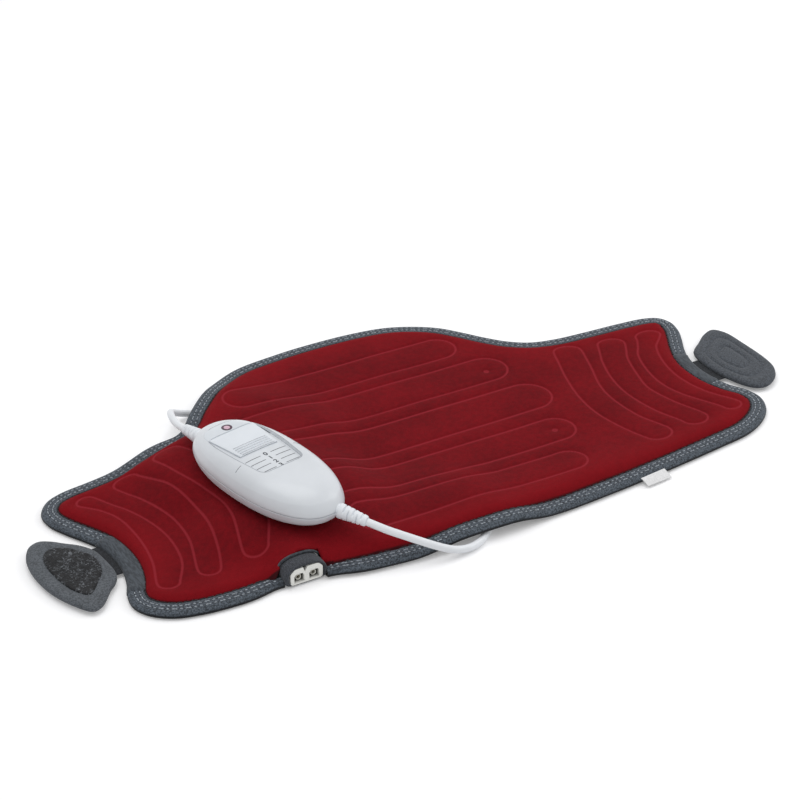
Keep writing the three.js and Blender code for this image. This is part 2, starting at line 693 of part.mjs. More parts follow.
// The controller in its own frame: y runs towards the pad lead's end, and z up from its base
const caseSections = [
  [0, 0.78], [0.045, 0.86], [0.17, 0.955], [0.34, 0.995], [0.43, 1], [0.53, 0.99], [0.68, 0.955],
  [0.76, 0.925], [0.87, 0.85], [0.95, 0.75], [0.985, 0.66], [1, 0.54],
];
const caseSides = 36;
const caseSquareness = 2.3;

function caseScale(height) {
  const share = height / caseHeight;
  for (let i = 0; i + 1 < caseSections.length; i += 1) {
    const [low, from] = caseSections[i];
    const [high, to] = caseSections[i + 1];
    if (share <= high) return from + ((to - from) * (share - low)) / (high - low);
  }
  return caseSections[caseSections.length - 1][1];
}

function caseLoop(height, inset) {
  const loop = [];
  const scale = caseScale(height);
  for (let k = 0; k < caseSides; k += 1) {
    const angle = (2 * Math.PI * (k + 0.5)) / caseSides;
    const [c, s] = [Math.cos(angle), Math.sin(angle)];
    const bend = (v) => Math.sign(v) * Math.abs(v) ** (2 / caseSquareness);
    const x = bend(c) * (caseHalfWidth * scale - inset);
    const y = bend(s) * (caseHalfLength * scale - inset);
    loop.push(new THREE.Vector3(x, y, height));
  }
  return loop;
}

function caseBetween(low, high, inset) {
  const heights = caseSections.map(([share]) => share * caseHeight);
  const between = heights.filter((h) => h > low + 0.01 && h < high - 0.01);
  return loft([low, ...between, high].map((h) => caseLoop(h, inset)));
}

// A round pin or sleeve that stands on the case's floor or hangs from its roof
function post(x, y, low, high, radius, sides = 16) {
  const turned = new THREE.CylinderGeometry(radius, radius, high - low, sides).rotateX(Math.PI / 2);
  return turned.translate(x, y, (low + high) / 2);
}

const recessDepth = 1.8;
const recessFloor = caseHeight - recessDepth;
const recessBack = 0.7639 * caseHalfLength;
const recessFront = -0.2778 * caseHalfLength;
const recessWidest = 0.3472 * caseHalfLength;
const recessShoulder = 0.5972 * caseHalfLength;
const recessHalfBack = 0.6389 * caseHalfWidth;
const recessHalfFront = 0.5 * caseHalfWidth;
const recessCorner = 0.1944 * caseHalfWidth;
const recessTaper = 0.0417 * caseHalfWidth;
const recessRound = 0.1389 * caseHalfWidth;
const caseRoof = recessFloor - caseWall;
const sliderFront = 0.125 * caseHalfLength;
const sliderBack = 0.5694 * caseHalfLength;
const sliderHalf = 0.5722 * caseHalfWidth;
const sliderThick = 1.3;
const stemHalf = 1.7;
const stemBack = 0.4611 * caseHalfLength;
const stemLong = 6;
const stemFoot = 15.6;
const slotBack = stemBack + gap;
const slotFront = stemBack - stemLong - switchTravel - gap;
const paneFront = sliderBack + gap + 0.5;
const paneBack = recessBack - gap;
const paneThick = 1.5;
const lampRadius = 2.6;
const lampY = 0.6458 * caseHalfLength;
const screwPlaces = [[0, 0.75 * caseHalfLength], [0, -0.6944 * caseHalfLength]];
const screwRadius = 1.4;
const screwHeadRadius = 2.7;
const screwHeadBase = 0.6;
const screwHeadTop = 2.4;
const screwTop = 18;
const bossRadius = 3.8;
const boardBase = 11.5;
const boardThick = 1.6;
const boardHalf = [0.5556 * caseHalfWidth, 0.5972 * caseHalfLength];
const boardCentreY = 0.0833 * caseHalfLength;
const [pegX, pegY] = [0.4722 * caseHalfWidth, 0.4722 * caseHalfLength];
const boardPegs = [[pegX, pegY], [-pegX, pegY], [pegX, -pegY], [-pegX, -pegY]];

function recessOutline(inset) {
  const back = recessBack - inset;
  const front = recessFront + inset;
  const half = recessHalfBack - inset;
  const halfFront = recessHalfFront - inset;
  const side = [
    [halfFront - recessRound, front], [halfFront, front + recessRound], [half - gap, sliderFront],
    [half, recessWidest], [half - recessTaper, recessShoulder], [half - recessCorner, back],
  ];
  const mirrored = side.map(([x, y]) => [-x, y]).reverse();
  return [...side, ...mirrored].map(([x, y]) => new THREE.Vector2(x, y));
}

// The controller rests on the highest part of the lifted pad
const caseBase = padTop + Math.max(...planLift) + gap;
const toWorld = new THREE.Matrix4().makeTranslation(caseCentre.x, caseCentre.y, caseBase)
  .multiply(new THREE.Matrix4().makeRotationZ(caseYaw));
const place = (geometry) => geometry.applyMatrix4(toWorld);

// The strain reliefs, each a ribbed taper with a flange held behind the case's end wall
const reliefLength = 24.5;
const reliefFall = 5;
const reliefSides = 14;
const reliefNeckRadius = 4.6;
const reliefFlangeThick = 1.6;
const reliefCollar = 5;
const reliefRibs = [
  [6.1, 5.9, 0.34], [5.6, 5.4, 0.48], [5.1, 4.9, 0.61], [4.7, 4.4, 0.74], [4.2, 4, 0.86],
];
const reliefSlotShare = 0.045;
const reliefEnds = {
  a: { root: new THREE.Vector2(-147.15, 18.5), heading: new THREE.Vector2(-0.06, 1), flange: -4.6 },
  b: { root: new THREE.Vector2(-110.1, -105.8), heading: new THREE.Vector2(0.62, -0.79), flange: -4.8 },
};

function alongRelief(geometry, end) {
  const flat = end.heading.clone().normalize();
  const along = new THREE.Vector3(flat.x, flat.y, -reliefFall / reliefLength).normalize();
  const turn = new THREE.Quaternion().setFromUnitVectors(new THREE.Vector3(0, 1, 0), along);
  return geometry.applyQuaternion(turn).translate(end.root.x, end.root.y, caseBase + seamHeight);
}

function reliefGeometry(end) {
  const front = end.flange;
  const back = front - reliefFlangeThick;
  const flange = reliefNeckRadius + 0.9;
  const profile = [[0, back], [flange, back], [flange, front], [reliefNeckRadius, front]];
  profile.push([reliefNeckRadius, reliefCollar]);
  let start = reliefCollar;
  for (const [from, to, share] of reliefRibs) {
    const stop = reliefLength * share;
    const slot = reliefLength * reliefSlotShare;
    profile.push([from, start], [to, stop], [to - 1.2, stop + 0.01], [to - 1.2, stop + slot]);
    start = stop + slot + 0.01;
  }
  profile.push([leadDiameter / 2 + 1.1, start], [leadDiameter / 2 + 0.9, reliefLength], [0, reliefLength]);
  const points = profile.map(([r, y]) => new THREE.Vector2(r, y));
  return alongRelief(new THREE.LatheGeometry(points, reliefSides), end);
}

function reliefRoom(end) {
  const front = end.flange;
  const neck = reliefNeckRadius + gap;
  const collar = reliefRibs[0][0] + gap;
  const profile = [
    [0, front - 2], [neck, front - 2], [neck, reliefCollar - gap], [collar, reliefCollar - gap],
    [collar, reliefLength], [0, reliefLength],
  ];
  const points = profile.map(([r, y]) => new THREE.Vector2(r, y));
  return alongRelief(new THREE.LatheGeometry(points, reliefSides), end);
}

function caseBottomGeometry() {
  const top = seamHeight - gap / 2;
  let shell = cut(caseBetween(0, top, 0), caseBetween(caseWall, top + 1, caseWall));
  const bosses = screwPlaces.map(([x, y]) => post(x, y, caseWall / 2, seamHeight - 1, bossRadius));
  const pegs = boardPegs.map(([x, y]) => post(x, y, caseWall / 2, boardBase - gap, 2, 8));
  shell = join(shell, ...bosses, ...pegs);
  const holes = screwPlaces.flatMap(([x, y]) => [
    post(x, y, -1, screwHeadTop + gap, screwHeadRadius + gap),
    post(x, y, 0, seamHeight, screwRadius + gap),
  ]);
  return cut(place(cut(shell, ...holes)), reliefRoom(reliefEnds.a), reliefRoom(reliefEnds.b));
}

function caseTopGeometry() {
  const low = seamHeight + gap / 2;
  const above = caseHeight + 1;
  let shell = cut(
    caseBetween(low, caseHeight, 0),
    caseBetween(low - 1, caseRoof, caseWall),
    prism(recessOutline(0), recessFloor, above),
    box([-stemHalf - gap, slotFront, caseRoof - 1], [stemHalf + gap, slotBack, above]),
    post(0, lampY, caseRoof - 1, above, lampRadius + gap),
  );
  shell = join(shell, ...screwPlaces.map(([x, y]) => post(x, y, seamHeight - 0.7, caseRoof + 0.5, bossRadius)));
  const holes = screwPlaces.map(([x, y]) => post(x, y, 0, screwTop + gap, screwRadius + gap));
  return cut(place(cut(shell, ...holes)), reliefRoom(reliefEnds.a), reliefRoom(reliefEnds.b));
}

function screwGeometry([x, y]) {
  return place(join(
    post(x, y, screwHeadBase, screwHeadTop, screwHeadRadius),
    post(x, y, screwHeadTop - 0.5, screwTop, screwRadius, 10),
  ));
}

const sliderHalfFront = 0.4833 * caseHalfWidth;
const sliderRibs = [1.4, 4.1, 6.8, 9.5].map((y) => sliderFront + y);
const sliderRibHalf = 0.6;
const sliderRibTall = 0.8;

function sliderGeometry() {
  const base = recessFloor + gap;
  const top = base + sliderThick;
  const round = 1.5;
  const outline = [
    [-sliderHalfFront + round, sliderFront], [sliderHalfFront - round, sliderFront],
    [sliderHalfFront, sliderFront + round], [sliderHalf, sliderBack], [-sliderHalf, sliderBack],
    [-sliderHalfFront, sliderFront + round],
  ].map(([x, y]) => new THREE.Vector2(x, y));
  const ribs = sliderRibs.map((y) => box(
    [-sliderHalfFront + 2, y - sliderRibHalf, top - 0.5],
    [sliderHalfFront - 2, y + sliderRibHalf, top + sliderRibTall],
  ));
  const stemFront = stemBack - stemLong;
  const stem = box([-stemHalf, stemFront, stemFoot], [stemHalf, stemBack, base + 0.5]);
  const catchTop = caseRoof - gap;
  const clip = box([-2 * stemHalf, stemFront, catchTop - 1], [2 * stemHalf, stemBack, catchTop]);
  return place(join(prism(outline, base, top), ...ribs, stem, clip));
}

function windowGeometry() {
  const low = recessFloor + gap;
  const half = recessHalfBack - gap;
  const side = [
    [half - recessTaper, paneFront], [half - recessTaper, recessShoulder], [half - recessCorner, paneBack],
  ];
  const mirrored = side.map(([x, y]) => [-x, y]).reverse();
  const outline = [...side, ...mirrored].map(([x, y]) => new THREE.Vector2(x, y));
  return place(prism(outline, low, low + paneThick));
}

const shellWhite = 0xd9dee3;
add('case_bottom', caseBottomGeometry(), shellWhite, 0.35);
add('case_top', caseTopGeometry(), shellWhite, 0.35);
add('case_screw_back', screwGeometry(screwPlaces[0]), 0x9a9da0, 0.35, 0.9);
add('case_screw_front', screwGeometry(screwPlaces[1]), 0x9a9da0, 0.35, 0.9);
add('switch_slider', sliderGeometry(), 0xdfe3e7, 0.4);
add('status_window', windowGeometry(), 0xcfd5da, 0.2);
add('relief_pad_lead', reliefGeometry(reliefEnds.a), 0xe3e6ea, 0.45);
add('relief_mains_lead', reliefGeometry(reliefEnds.b), 0xe3e6ea, 0.45);

// What stands inside the case
const boardTop = boardBase + boardThick;
const onBoard = boardTop + gap;
const switchBlockHalf = 8;
const switchBlockTall = 5;
const board = box(
  [-boardHalf[0], boardCentreY - boardHalf[1], boardBase],
  [boardHalf[0], boardCentreY + boardHalf[1], boardTop],
);
add('circuit_board', place(board), 0x2f6b43, 0.6);
add('status_lamp', place(post(0, lampY, onBoard, recessFloor, lampRadius)), 0xb0567a, 0.3);
const switchChannel = box(
  [-stemHalf - gap, slotFront - gap, stemFoot - gap],
  [stemHalf + gap, slotBack + gap, caseHeight],
);
const switchBody = box(
  [-switchBlockHalf, slotFront - 4, onBoard],
  [switchBlockHalf, slotBack + 4, onBoard + switchBlockTall],
);
add('switch_block', place(cut(switchBody, switchChannel)), 0x2a2c30, 0.6);
const fuseRadius = 2.6;
const fuseHalf = 10;
const fuse = new THREE.CylinderGeometry(fuseRadius, fuseRadius, 2 * fuseHalf, 10)
  .translate(-14, 15, onBoard + fuseRadius);
add('fuse', place(fuse), 0xc8ccd0, 0.3, 0.4);
add('capacitor', place(lyingBox([13.5, -12], [6, 18, 7], onBoard)), 0xb98b2e, 0.5);
add('terminal_block_back', place(lyingBox([-13, 40], [9, 8, 6], onBoard)), 0x4c7a58, 0.6);
add('terminal_block_front', place(lyingBox([0, -30], [14, 8, 6], onBoard)), 0x4c7a58, 0.6);

// The leads, the stored coil, the plug and the coupling
function coilPoints() {
  const points = [];
  const turns = coilInTurns + 0.5 + coilOutTurns;
  const steps = Math.round(turns * coilTurnSteps);
  const low = leadRest + leadDiameter / 2;
  const outer = coilInnerRadius + coilPitch * coilInTurns;
  points.push(new THREE.Vector3(coilCentre.x + 2 * leadDiameter, coilCentre.y - outer, low));
  for (let i = 0; i <= steps; i += 1) {
    const turn = i / coilTurnSteps;
    const climb = Math.min(Math.max((turn - coilInTurns) / 0.5, 0), 1);
    const inward = coilPitch * Math.max(coilInTurns - turn, 0);
    const outward = coilPitch * Math.max(turn - coilInTurns - 0.5, 0);
    const radius = coilInnerRadius + inward + outward - 0.8 * Math.sin(Math.PI * climb);
    const angle = -Math.PI / 2 - 2 * Math.PI * turn;
    const height = low + coilPitch * (1 - fall(climb, 1));
    const x = coilCentre.x + radius * Math.cos(angle);
    points.push(new THREE.Vector3(x, coilCentre.y + radius * Math.sin(angle), height));
  }
  const end = points[points.length - 1];
  points.push(new THREE.Vector3(end.x, end.y + leadDiameter, end.z));
  return points;
}

const coilLine = coilPoints();
const coilEnd = coilLine[coilLine.length - 1];

function leastCoilGap() {
  let least = Infinity;
  for (let i = 0; i < coilLine.length; i += 1) {
    for (let j = i + coilTurnSteps / 2; j < coilLine.length; j += 1) {
      least = Math.min(least, coilLine[i].distanceTo(coilLine[j]));
    }
  }
  return least - leadDiameter;
}

console.log(`least gap of the coil to itself ${leastCoilGap().toFixed(2)} mm`);
const coilStart = coilLine[0];
mainsLeadRoute[mainsLeadRoute.length - 1].set(coilStart.x + gap, coilStart.y, coilStart.z);
const plugMiddle = leadRest + plugThick / 2;
const plugStart = plugBack - plugLength;
const mainsTailRoute = [
  [coilEnd.x, coilEnd.y + gap, coilEnd.z], [coilEnd.x + 0.2, -43.5, coilEnd.z],
  [coilEnd.x + 1.2, -37.5, coilEnd.z], [plugX - 4.3, -31.5, coilEnd.z - 0.1],
  [plugX - 2.1, -25.5, coilEnd.z - 0.6], [plugX - 0.5, -20, plugMiddle + 0.6],
  [plugX, plugStart - plugReliefLength - 1.5 * gap, plugMiddle],
].map(([x, y, z]) => new THREE.Vector3(x, y, z));

// A moulded block along a line, from rounded sections given as [distance, half width, half height]
function mouldedBar(sections, start, along, side) {
  const up = along.clone().cross(side);
  const loops = sections.map(([distance, halfWide, halfTall]) => {
    const loop = [];
    for (let k = 0; k < 16; k += 1) {
      const angle = (2 * Math.PI * (k + 0.5)) / 16;
      const bend = (v) => Math.sign(v) * Math.sqrt(Math.abs(v));
      const point = start.clone().addScaledVector(along, distance);
      point.addScaledVector(side, bend(Math.cos(angle)) * halfWide);
      loop.push(point.addScaledVector(up, bend(Math.sin(angle)) * halfTall));
    }
    return loop;
  });
  return loft(loops);
}

const axisX = new THREE.Vector3(1, 0, 0);
const axisY = new THREE.Vector3(0, 1, 0);
const plugHalf = plugWidth / 2;
const plugSections = [
  [0, 3.5, 3.5], [plugReliefLength, 4.6, 4.4], [plugReliefLength + 1.5, 9, 5.4],
  [plugReliefLength + 6, plugHalf * 0.92, plugThick / 2], [plugReliefLength + 20, plugHalf, plugThick / 2],
  [plugReliefLength + plugLength, plugHalf * 0.97, plugThick / 2 - 0.3],
];
const pinSink = 8;
const pinPlaces = [['plug_pin_left', -1], ['plug_pin_right', 1]];
const pinBar = (side, low, high, radius) => new THREE.CylinderGeometry(radius, radius, high - low, 12)
  .translate(plugX + (side * pinSpacing) / 2, (low + high) / 2, plugMiddle);
const plugBody = mouldedBar(
  plugSections,
  new THREE.Vector3(plugX, plugStart - plugReliefLength, plugMiddle),
  axisY,
  axisX,
);
const pinHoles = pinPlaces.map(([, side]) => pinBar(side, plugBack - pinSink, plugBack + 5, pinDiameter / 2 + gap));
add('plug_body', cut(plugBody, ...pinHoles), 0xdfe2e6, 0.45);
for (const [name, side] of pinPlaces) {
  add(name, pinBar(side, plugBack - pinSink + gap, plugBack + pinLength, pinDiameter / 2), 0xbfc2c4, 0.3, 0.9);
}

const towerLong = 10;
const towerSize = [6.8, 6.6];
const couplingMiddle = leadRest + couplingThick / 2;
const couplingBack = couplingCentre.x + couplingLength / 2;
const couplingFront = couplingCentre.x - couplingLength / 2 + towerLong;
const couplingBar = mouldedBar([
  [0, 3.5, 3.5], [plugReliefLength, 4.6, 4.4], [plugReliefLength + 1.5, couplingWidth * 0.42, couplingThick / 2],
  [plugReliefLength + couplingBack - couplingFront, couplingWidth / 2, couplingThick / 2],
], new THREE.Vector3(couplingBack + plugReliefLength, couplingCentre.y, couplingMiddle), axisX.clone().negate(), axisY);
const towers = [-1, 1].map((side) => box(
  [couplingFront - towerLong, couplingCentre.y + (side * contactSpacing - towerSize[0]) / 2,
    couplingMiddle - towerSize[1] / 2],
  [couplingFront + 0.5, couplingCentre.y + (side * contactSpacing + towerSize[0]) / 2,
    couplingMiddle + towerSize[1] / 2],
));
const bladeRooms = [-1, 1].map((side) => box(
  [couplingFront - towerLong - 1, couplingCentre.y + (side * contactSpacing - 1.6) / 2, couplingMiddle - 2.5],
  [couplingFront - 3, couplingCentre.y + (side * contactSpacing + 1.6) / 2, couplingMiddle + 2.5],
));
add('pad_coupling', cut(join(couplingBar, ...towers), ...bladeRooms), 0xdfe2e6, 0.45);
add('pad_lead', lead(new THREE.CatmullRomCurve3(padLeadRoute), leadDiameter, 20), 0xdfe2e6, 0.4);
add('mains_lead', lead(new THREE.CatmullRomCurve3(mainsLeadRoute), leadDiameter, 26), 0xdfe2e6, 0.4);
add('mains_coil', tubeThrough(coilLine, leadDiameter / 2, 6), 0xdfe2e6, 0.4);
add('mains_tail', lead(new THREE.CatmullRomCurve3(mainsTailRoute), leadDiameter, 8), 0xdfe2e6, 0.4);

// The whole is centred on the pad and its tabs, without the leads
const cordNames = ['pad_lead', 'mains_lead', 'mains_coil', 'mains_tail', 'plug_body', 'plug_pin_left',
  'plug_pin_right', 'pad_coupling'];
const whole = new THREE.Box3();
for (const mesh of group.children) {
  if (!cordNames.includes(mesh.name)) whole.expandByObject(mesh);
}
const middle = whole.getCenter(new THREE.Vector3());
for (const mesh of group.children) mesh.geometry.translate(-middle.x, -middle.y, 0);
console.log(`centre ${middle.x.toFixed(3)} ${middle.y.toFixed(3)}, case base ${caseBase.toFixed(3)}`);

export default group;
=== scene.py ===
# %% [markdown]
# # A heating pad with its controller, dressed in Blender
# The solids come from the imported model, in metres, with Z up. Nearly all that shows is made again here with
# finer forms, and the rest keeps its solid and is given a finish. The sizes below repeat those of the solids.

# %% Load the solids
import bpy, bmesh, math
import numpy as np
from mathutils import Vector, Matrix, kdtree
from mathutils.bvhtree import BVHTree

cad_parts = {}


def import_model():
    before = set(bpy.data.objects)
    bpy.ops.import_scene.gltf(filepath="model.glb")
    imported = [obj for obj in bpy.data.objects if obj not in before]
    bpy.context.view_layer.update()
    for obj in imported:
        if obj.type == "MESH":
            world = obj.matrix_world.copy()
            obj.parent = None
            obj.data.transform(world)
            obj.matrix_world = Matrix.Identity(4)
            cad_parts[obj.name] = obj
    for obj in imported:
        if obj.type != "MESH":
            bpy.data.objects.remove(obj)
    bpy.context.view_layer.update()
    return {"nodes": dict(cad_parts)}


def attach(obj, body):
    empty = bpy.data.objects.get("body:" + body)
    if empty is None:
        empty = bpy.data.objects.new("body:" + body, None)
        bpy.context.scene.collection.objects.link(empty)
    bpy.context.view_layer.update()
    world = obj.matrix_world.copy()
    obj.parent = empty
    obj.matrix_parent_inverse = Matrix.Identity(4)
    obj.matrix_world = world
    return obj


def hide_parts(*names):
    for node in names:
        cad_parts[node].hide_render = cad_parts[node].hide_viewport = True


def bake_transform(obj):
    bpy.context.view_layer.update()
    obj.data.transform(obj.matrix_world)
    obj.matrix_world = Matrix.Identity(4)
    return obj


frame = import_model()
nodes = frame["nodes"]
scene = bpy.context.scene
scene.view_settings.view_transform = "Standard"
MM = 0.001
SHIFT = Vector((0, -0.041, 0))

# %% [markdown]
# ## The camera
# The camera stands where the photograph was taken from: in front of the left half, thirty degrees up, with a
# long lens. It is made first, because the leads' unseen length has to lie where this camera can't see it.

# %% Place the camera
CAMERA_AZIMUTH, CAMERA_ELEVATION = math.radians(-29.993), math.radians(30.536)
CAMERA_DISTANCE = 1.740
CAMERA_TARGET = Vector((24.3, 37.5, 5.0)) * MM + SHIFT * MM
backwards = Vector((math.sin(CAMERA_AZIMUTH) * math.cos(CAMERA_ELEVATION),
                    -math.cos(CAMERA_AZIMUTH) * math.cos(CAMERA_ELEVATION), math.sin(CAMERA_ELEVATION)))
camera_data = bpy.data.cameras.new("camera")
camera_data.lens, camera_data.sensor_width = 104.89, 36
camera_data.clip_end = 50
camera = bpy.data.objects.new("camera", camera_data)
camera.location = CAMERA_TARGET + backwards * CAMERA_DISTANCE
camera.rotation_mode = "QUATERNION"
camera.rotation_quaternion = (-backwards).to_track_quat("-Z", "Y")
scene.collection.objects.link(camera)
scene.camera = camera
print("camera at", [round(v, 3) for v in camera.location])

# %% [markdown]
# ## Shader maths as plain expressions
# A material is a small network of nodes. Writing it link by link hides what it does, so a socket is wrapped in
# a class whose operators add the Math nodes. Then a pattern reads as the sum that it is.

# %% A class for shader expressions
class Term:
    def __init__(self, tree, socket):
        self.tree, self.socket = tree, socket

    def math(self, operation, other=None, swap=False):
        values = [self, other] if other is not None else [self]
        return self.tree.node("ShaderNodeMath", {"operation": operation}, values[::-1] if swap else values)

    def __add__(self, other): return self.math("ADD", other)
    def __radd__(self, other): return self.math("ADD", other)
    def __sub__(self, other): return self.math("SUBTRACT", other)
    def __rsub__(self, other): return self.math("SUBTRACT", other, True)
    def __mul__(self, other): return self.math("MULTIPLY", other)
    def __rmul__(self, other): return self.math("MULTIPLY", other)
    def __truediv__(self, other): return self.math("DIVIDE", other)
    def __pow__(self, other): return self.math("POWER", other)
    def most(self, other): return self.math("MAXIMUM", other)
    def sine(self): return self.math("SINE")
    def size(self): return self.math("ABSOLUTE")

    def between(self, low, high):
        return self.tree.node("ShaderNodeMapRange", {"interpolation_type": "SMOOTHSTEP"},
                              {"Value": self, "From Min": low, "From Max": high})


class Shading:
    """The nodes of a material or of the world, round its main shader."""
    def __init__(self, owner, shader, **constants):
        self.owner = owner
        owner.use_nodes = True
        self.nodes, self.links = owner.node_tree.nodes, owner.node_tree.links
        self.shader = self.nodes[shader]
        for socket, value in constants.items():
            self.shader.inputs[socket.replace("_", " ")].default_value = value

    def node(self, kind, settings=None, sockets=(), out=0):
        made = self.nodes.new(kind)
        for key, value in (settings or {}).items():
            setattr(made, key, value)
        pairs = sockets.items() if isinstance(sockets, dict) else enumerate(sockets)
        for key, value in pairs:
            if value is None:
                continue
            if isinstance(value, Term):
                self.links.new(value.socket, made.inputs[key])
            else:
                made.inputs[key].default_value = value
        return Term(self, made.outputs[out])

    def place(self, stretch=(1, 1, 1)):
        at = self.node("ShaderNodeTexCoord", out=3)
        return self.node("ShaderNodeMapping", None, {"Vector": at, "Scale": stretch})

    def noise(self, scale, detail=3.0, rough=0.5, stretch=(1, 1, 1)):
        return self.node("ShaderNodeTexNoise", None,
                         {"Vector": self.place(stretch), "Scale": scale, "Detail": detail, "Roughness": rough})

    def attribute(self, name):
        return self.node("ShaderNodeAttribute", {"attribute_name": name}, out=2)

    def mix(self, share, first, second):
        return self.node("ShaderNodeMix", {"data_type": "RGBA"}, {"Factor": share, 6: first, 7: second}, out=2)

    def bump(self, height, distance, strength=1.0, under=None):
        return self.node("ShaderNodeBump", None, {"Height": height, "Distance": distance, "Strength": strength,
                                                  "Normal": under})

    def set(self, **values):
        for socket, value in values.items():
            self.links.new(value.socket, self.shader.inputs[socket.replace("_", " ")])
        return self.owner


def finish(name, **constants):
    return Shading(bpy.data.materials.new(name), "Principled BSDF", **constants)


def rgb(*colour):
    """A colour as a screen shows it, 0 to 255, made linear."""
    return tuple(((c / 255 + 0.055) / 1.055) ** 2.4 if c > 10.3 else c / 255 / 12.92 for c in colour) + (1,)


def tinted(colour, factor):
    return rgb(*[min(255, c * factor) for c in colour])

# %% [markdown]
# ## Plastics, sheaths and metals
# Moulded plastic is never one flat colour: it has a faint orange-peel skin and small changes of gloss. The
# lead's sheath is softer and a little duller. These finishes are also given to the solids kept as they are.

# %% Make the hard finishes
PLASTIC_BUMP = 0.00003


def moulded(name, colour, roughness, grain=900.0, coat=0.0, metallic=0.0):
    f = finish(name, Metallic=metallic, Coat_Weight=coat)
    broad, fine = f.noise(35.0), f.noise(grain, detail=2.0)
    shade = f.mix(broad.between(0.3, 0.7), rgb(*colour), tinted(colour, 1.03))
    return f.set(Base_Color=shade, Roughness=fine * 0.12 + (roughness - 0.06), Normal=f.bump(fine, PLASTIC_BUMP))


shell_white = moulded("controller_shell", (207, 211, 216), 0.34, coat=0.15)
panel_white = moulded("controller_panel", (214, 219, 225), 0.42)
window_grey = moulded("status_window", (205, 211, 217), 0.22, coat=0.3)
sheath_white = moulded("lead_sheath", (226, 229, 233), 0.42, grain=1400.0)
relief_white = moulded("strain_relief", (224, 228, 233), 0.5)
housing_white = moulded("socket_housing", (232, 231, 226), 0.45)
board_green = moulded("circuit_board", (46, 107, 67), 0.55)
dark_plastic = moulded("switch_block", (40, 43, 47), 0.55)
terminal_green = moulded("terminal_block", (77, 124, 89), 0.5)
dipped_ochre = moulded("capacitor", (186, 140, 46), 0.35)
steel = moulded("steel", (176, 178, 180), 0.32, metallic=1.0)
nickel = moulded("nickel_pin", (190, 192, 194), 0.22, metallic=1.0)
brass = moulded("socket_contact", (184, 168, 122), 0.3, metallic=1.0)
tinned = moulded("tinned_contact", (196, 195, 188), 0.35, metallic=0.6)
lamp_pink = moulded("status_lamp", (178, 84, 124), 0.3, coat=0.4)
wire_tan = moulded("heating_wire", (201, 183, 154), 0.5)
# Dark ink for the print, also used for the painted shadow in the slot beside the slider.
ink_and_shadow = moulded("print", (72, 76, 82), 0.55)
# Greys for the ribbons of painted shade along the recess and between the slider's ribs.
gap_shade_grey = moulded("shaded_gap", (150, 155, 162), 0.6)
edge_shade_grey = moulded("recess_edge_shade", (122, 128, 136), 0.6)

kept = {
    "circuit_board": board_green, "switch_block": dark_plastic, "fuse": steel, "capacitor": dipped_ochre,
    "terminal_block_back": terminal_green, "terminal_block_front": terminal_green, "case_screw_back": steel,
    "case_screw_front": steel, "status_lamp": lamp_pink, "heating_wire": wire_tan, "thermal_cutout": housing_white,
    "temperature_sensor": terminal_green, "socket_contact_left": brass, "socket_contact_right": brass,
    "plug_pin_left": nickel, "plug_pin_right": nickel,
}
for name, material in kept.items():
    nodes[name].material_slots[0].material = material
print("kept solids", len(kept))

# %% [markdown]
# ## The leads
# Both leads are round PVC leads 5.4 mm thick. The mains lead's unseen length is a coil in two layers under the
# pad, behind the controller. A curve with a round bevel is the plainest way to make a lead, and its own line is
# its centreline. The points are those of the solids, and a centripetal spline joins them.

# %% Routes of the leads
LEAD, LEAD_LOW = 5.4, 2.9
PAD_LEAD_ROUTE = [
    (-148.6, 42.9, 28.85), (-149.1, 52.5, 27.2), (-148.6, 62, 26), (-146.4, 71.5, 24.2), (-143, 80.8, 21),
    (-138.8, 89, 16.4), (-133.8, 95.6, 11.2), (-128, 99.6, 7), (-121.6, 100.9, 4.1), (-113.8, 98, 3),
    (-105.1, 92.3, 2.9), (-95.6, 83.4, 2.9), (-86.3, 72.2, 2.9), (-77.5, 60, 2.9), (-70, 48, 2.9),
    (-66.2, 37, 2.9), (-65.5, 26.5, 2.9), (-67.9, 16, 3.2), (-73.4, 8.6, 3.8), (-79.8, 5.2, 4.7), (-86.4, 4.5, 5.2),
]
COIL_CENTRE, COIL_INNER, COIL_PITCH, COIL_STEPS = (-116, -55), 22.4, 5.95, 24
COIL_IN, COIL_CLIMB, COIL_OUT, CLIMB_DRAWN_IN = 3.5, 0.5, 3.25, 0.8
PLUG_X, PLUG_MIDDLE = -150, 6.7
MAINS_LEAD_ROUTE = [
    (-95, -124.95, 28.85), (-90.4, -130.6, 27.2), (-84.8, -136, 24.9), (-78.2, -140.6, 22.1), (-71.2, -144.6, 18.9),
    (-64.2, -147.9, 15.5), (-57.6, -150.4, 12.2), (-51.2, -152.3, 9.1), (-45, -153.5, 6.5), (-38.9, -153.9, 4.6),
    (-32.6, -153.8, 3.6), (-26.1, -152.2, 3.1), (-19.6, -149.2, 2.9), (-13.2, -144.4, 2.9), (-7.7, -138.3, 2.9),
    (-3.8, -131.5, 2.9), (-2.2, -124.5, 2.9), (-2.8, -117.7, 2.9), (-5.1, -111.4, 2.9), (-9, -106.1, 2.9),
    (-14.3, -102, 2.9), (-21, -99.5, 2.9), (-31.3, -98.3, 2.9), (-50, -98.2, 2.9), (-80, -98.2, 2.9),
]


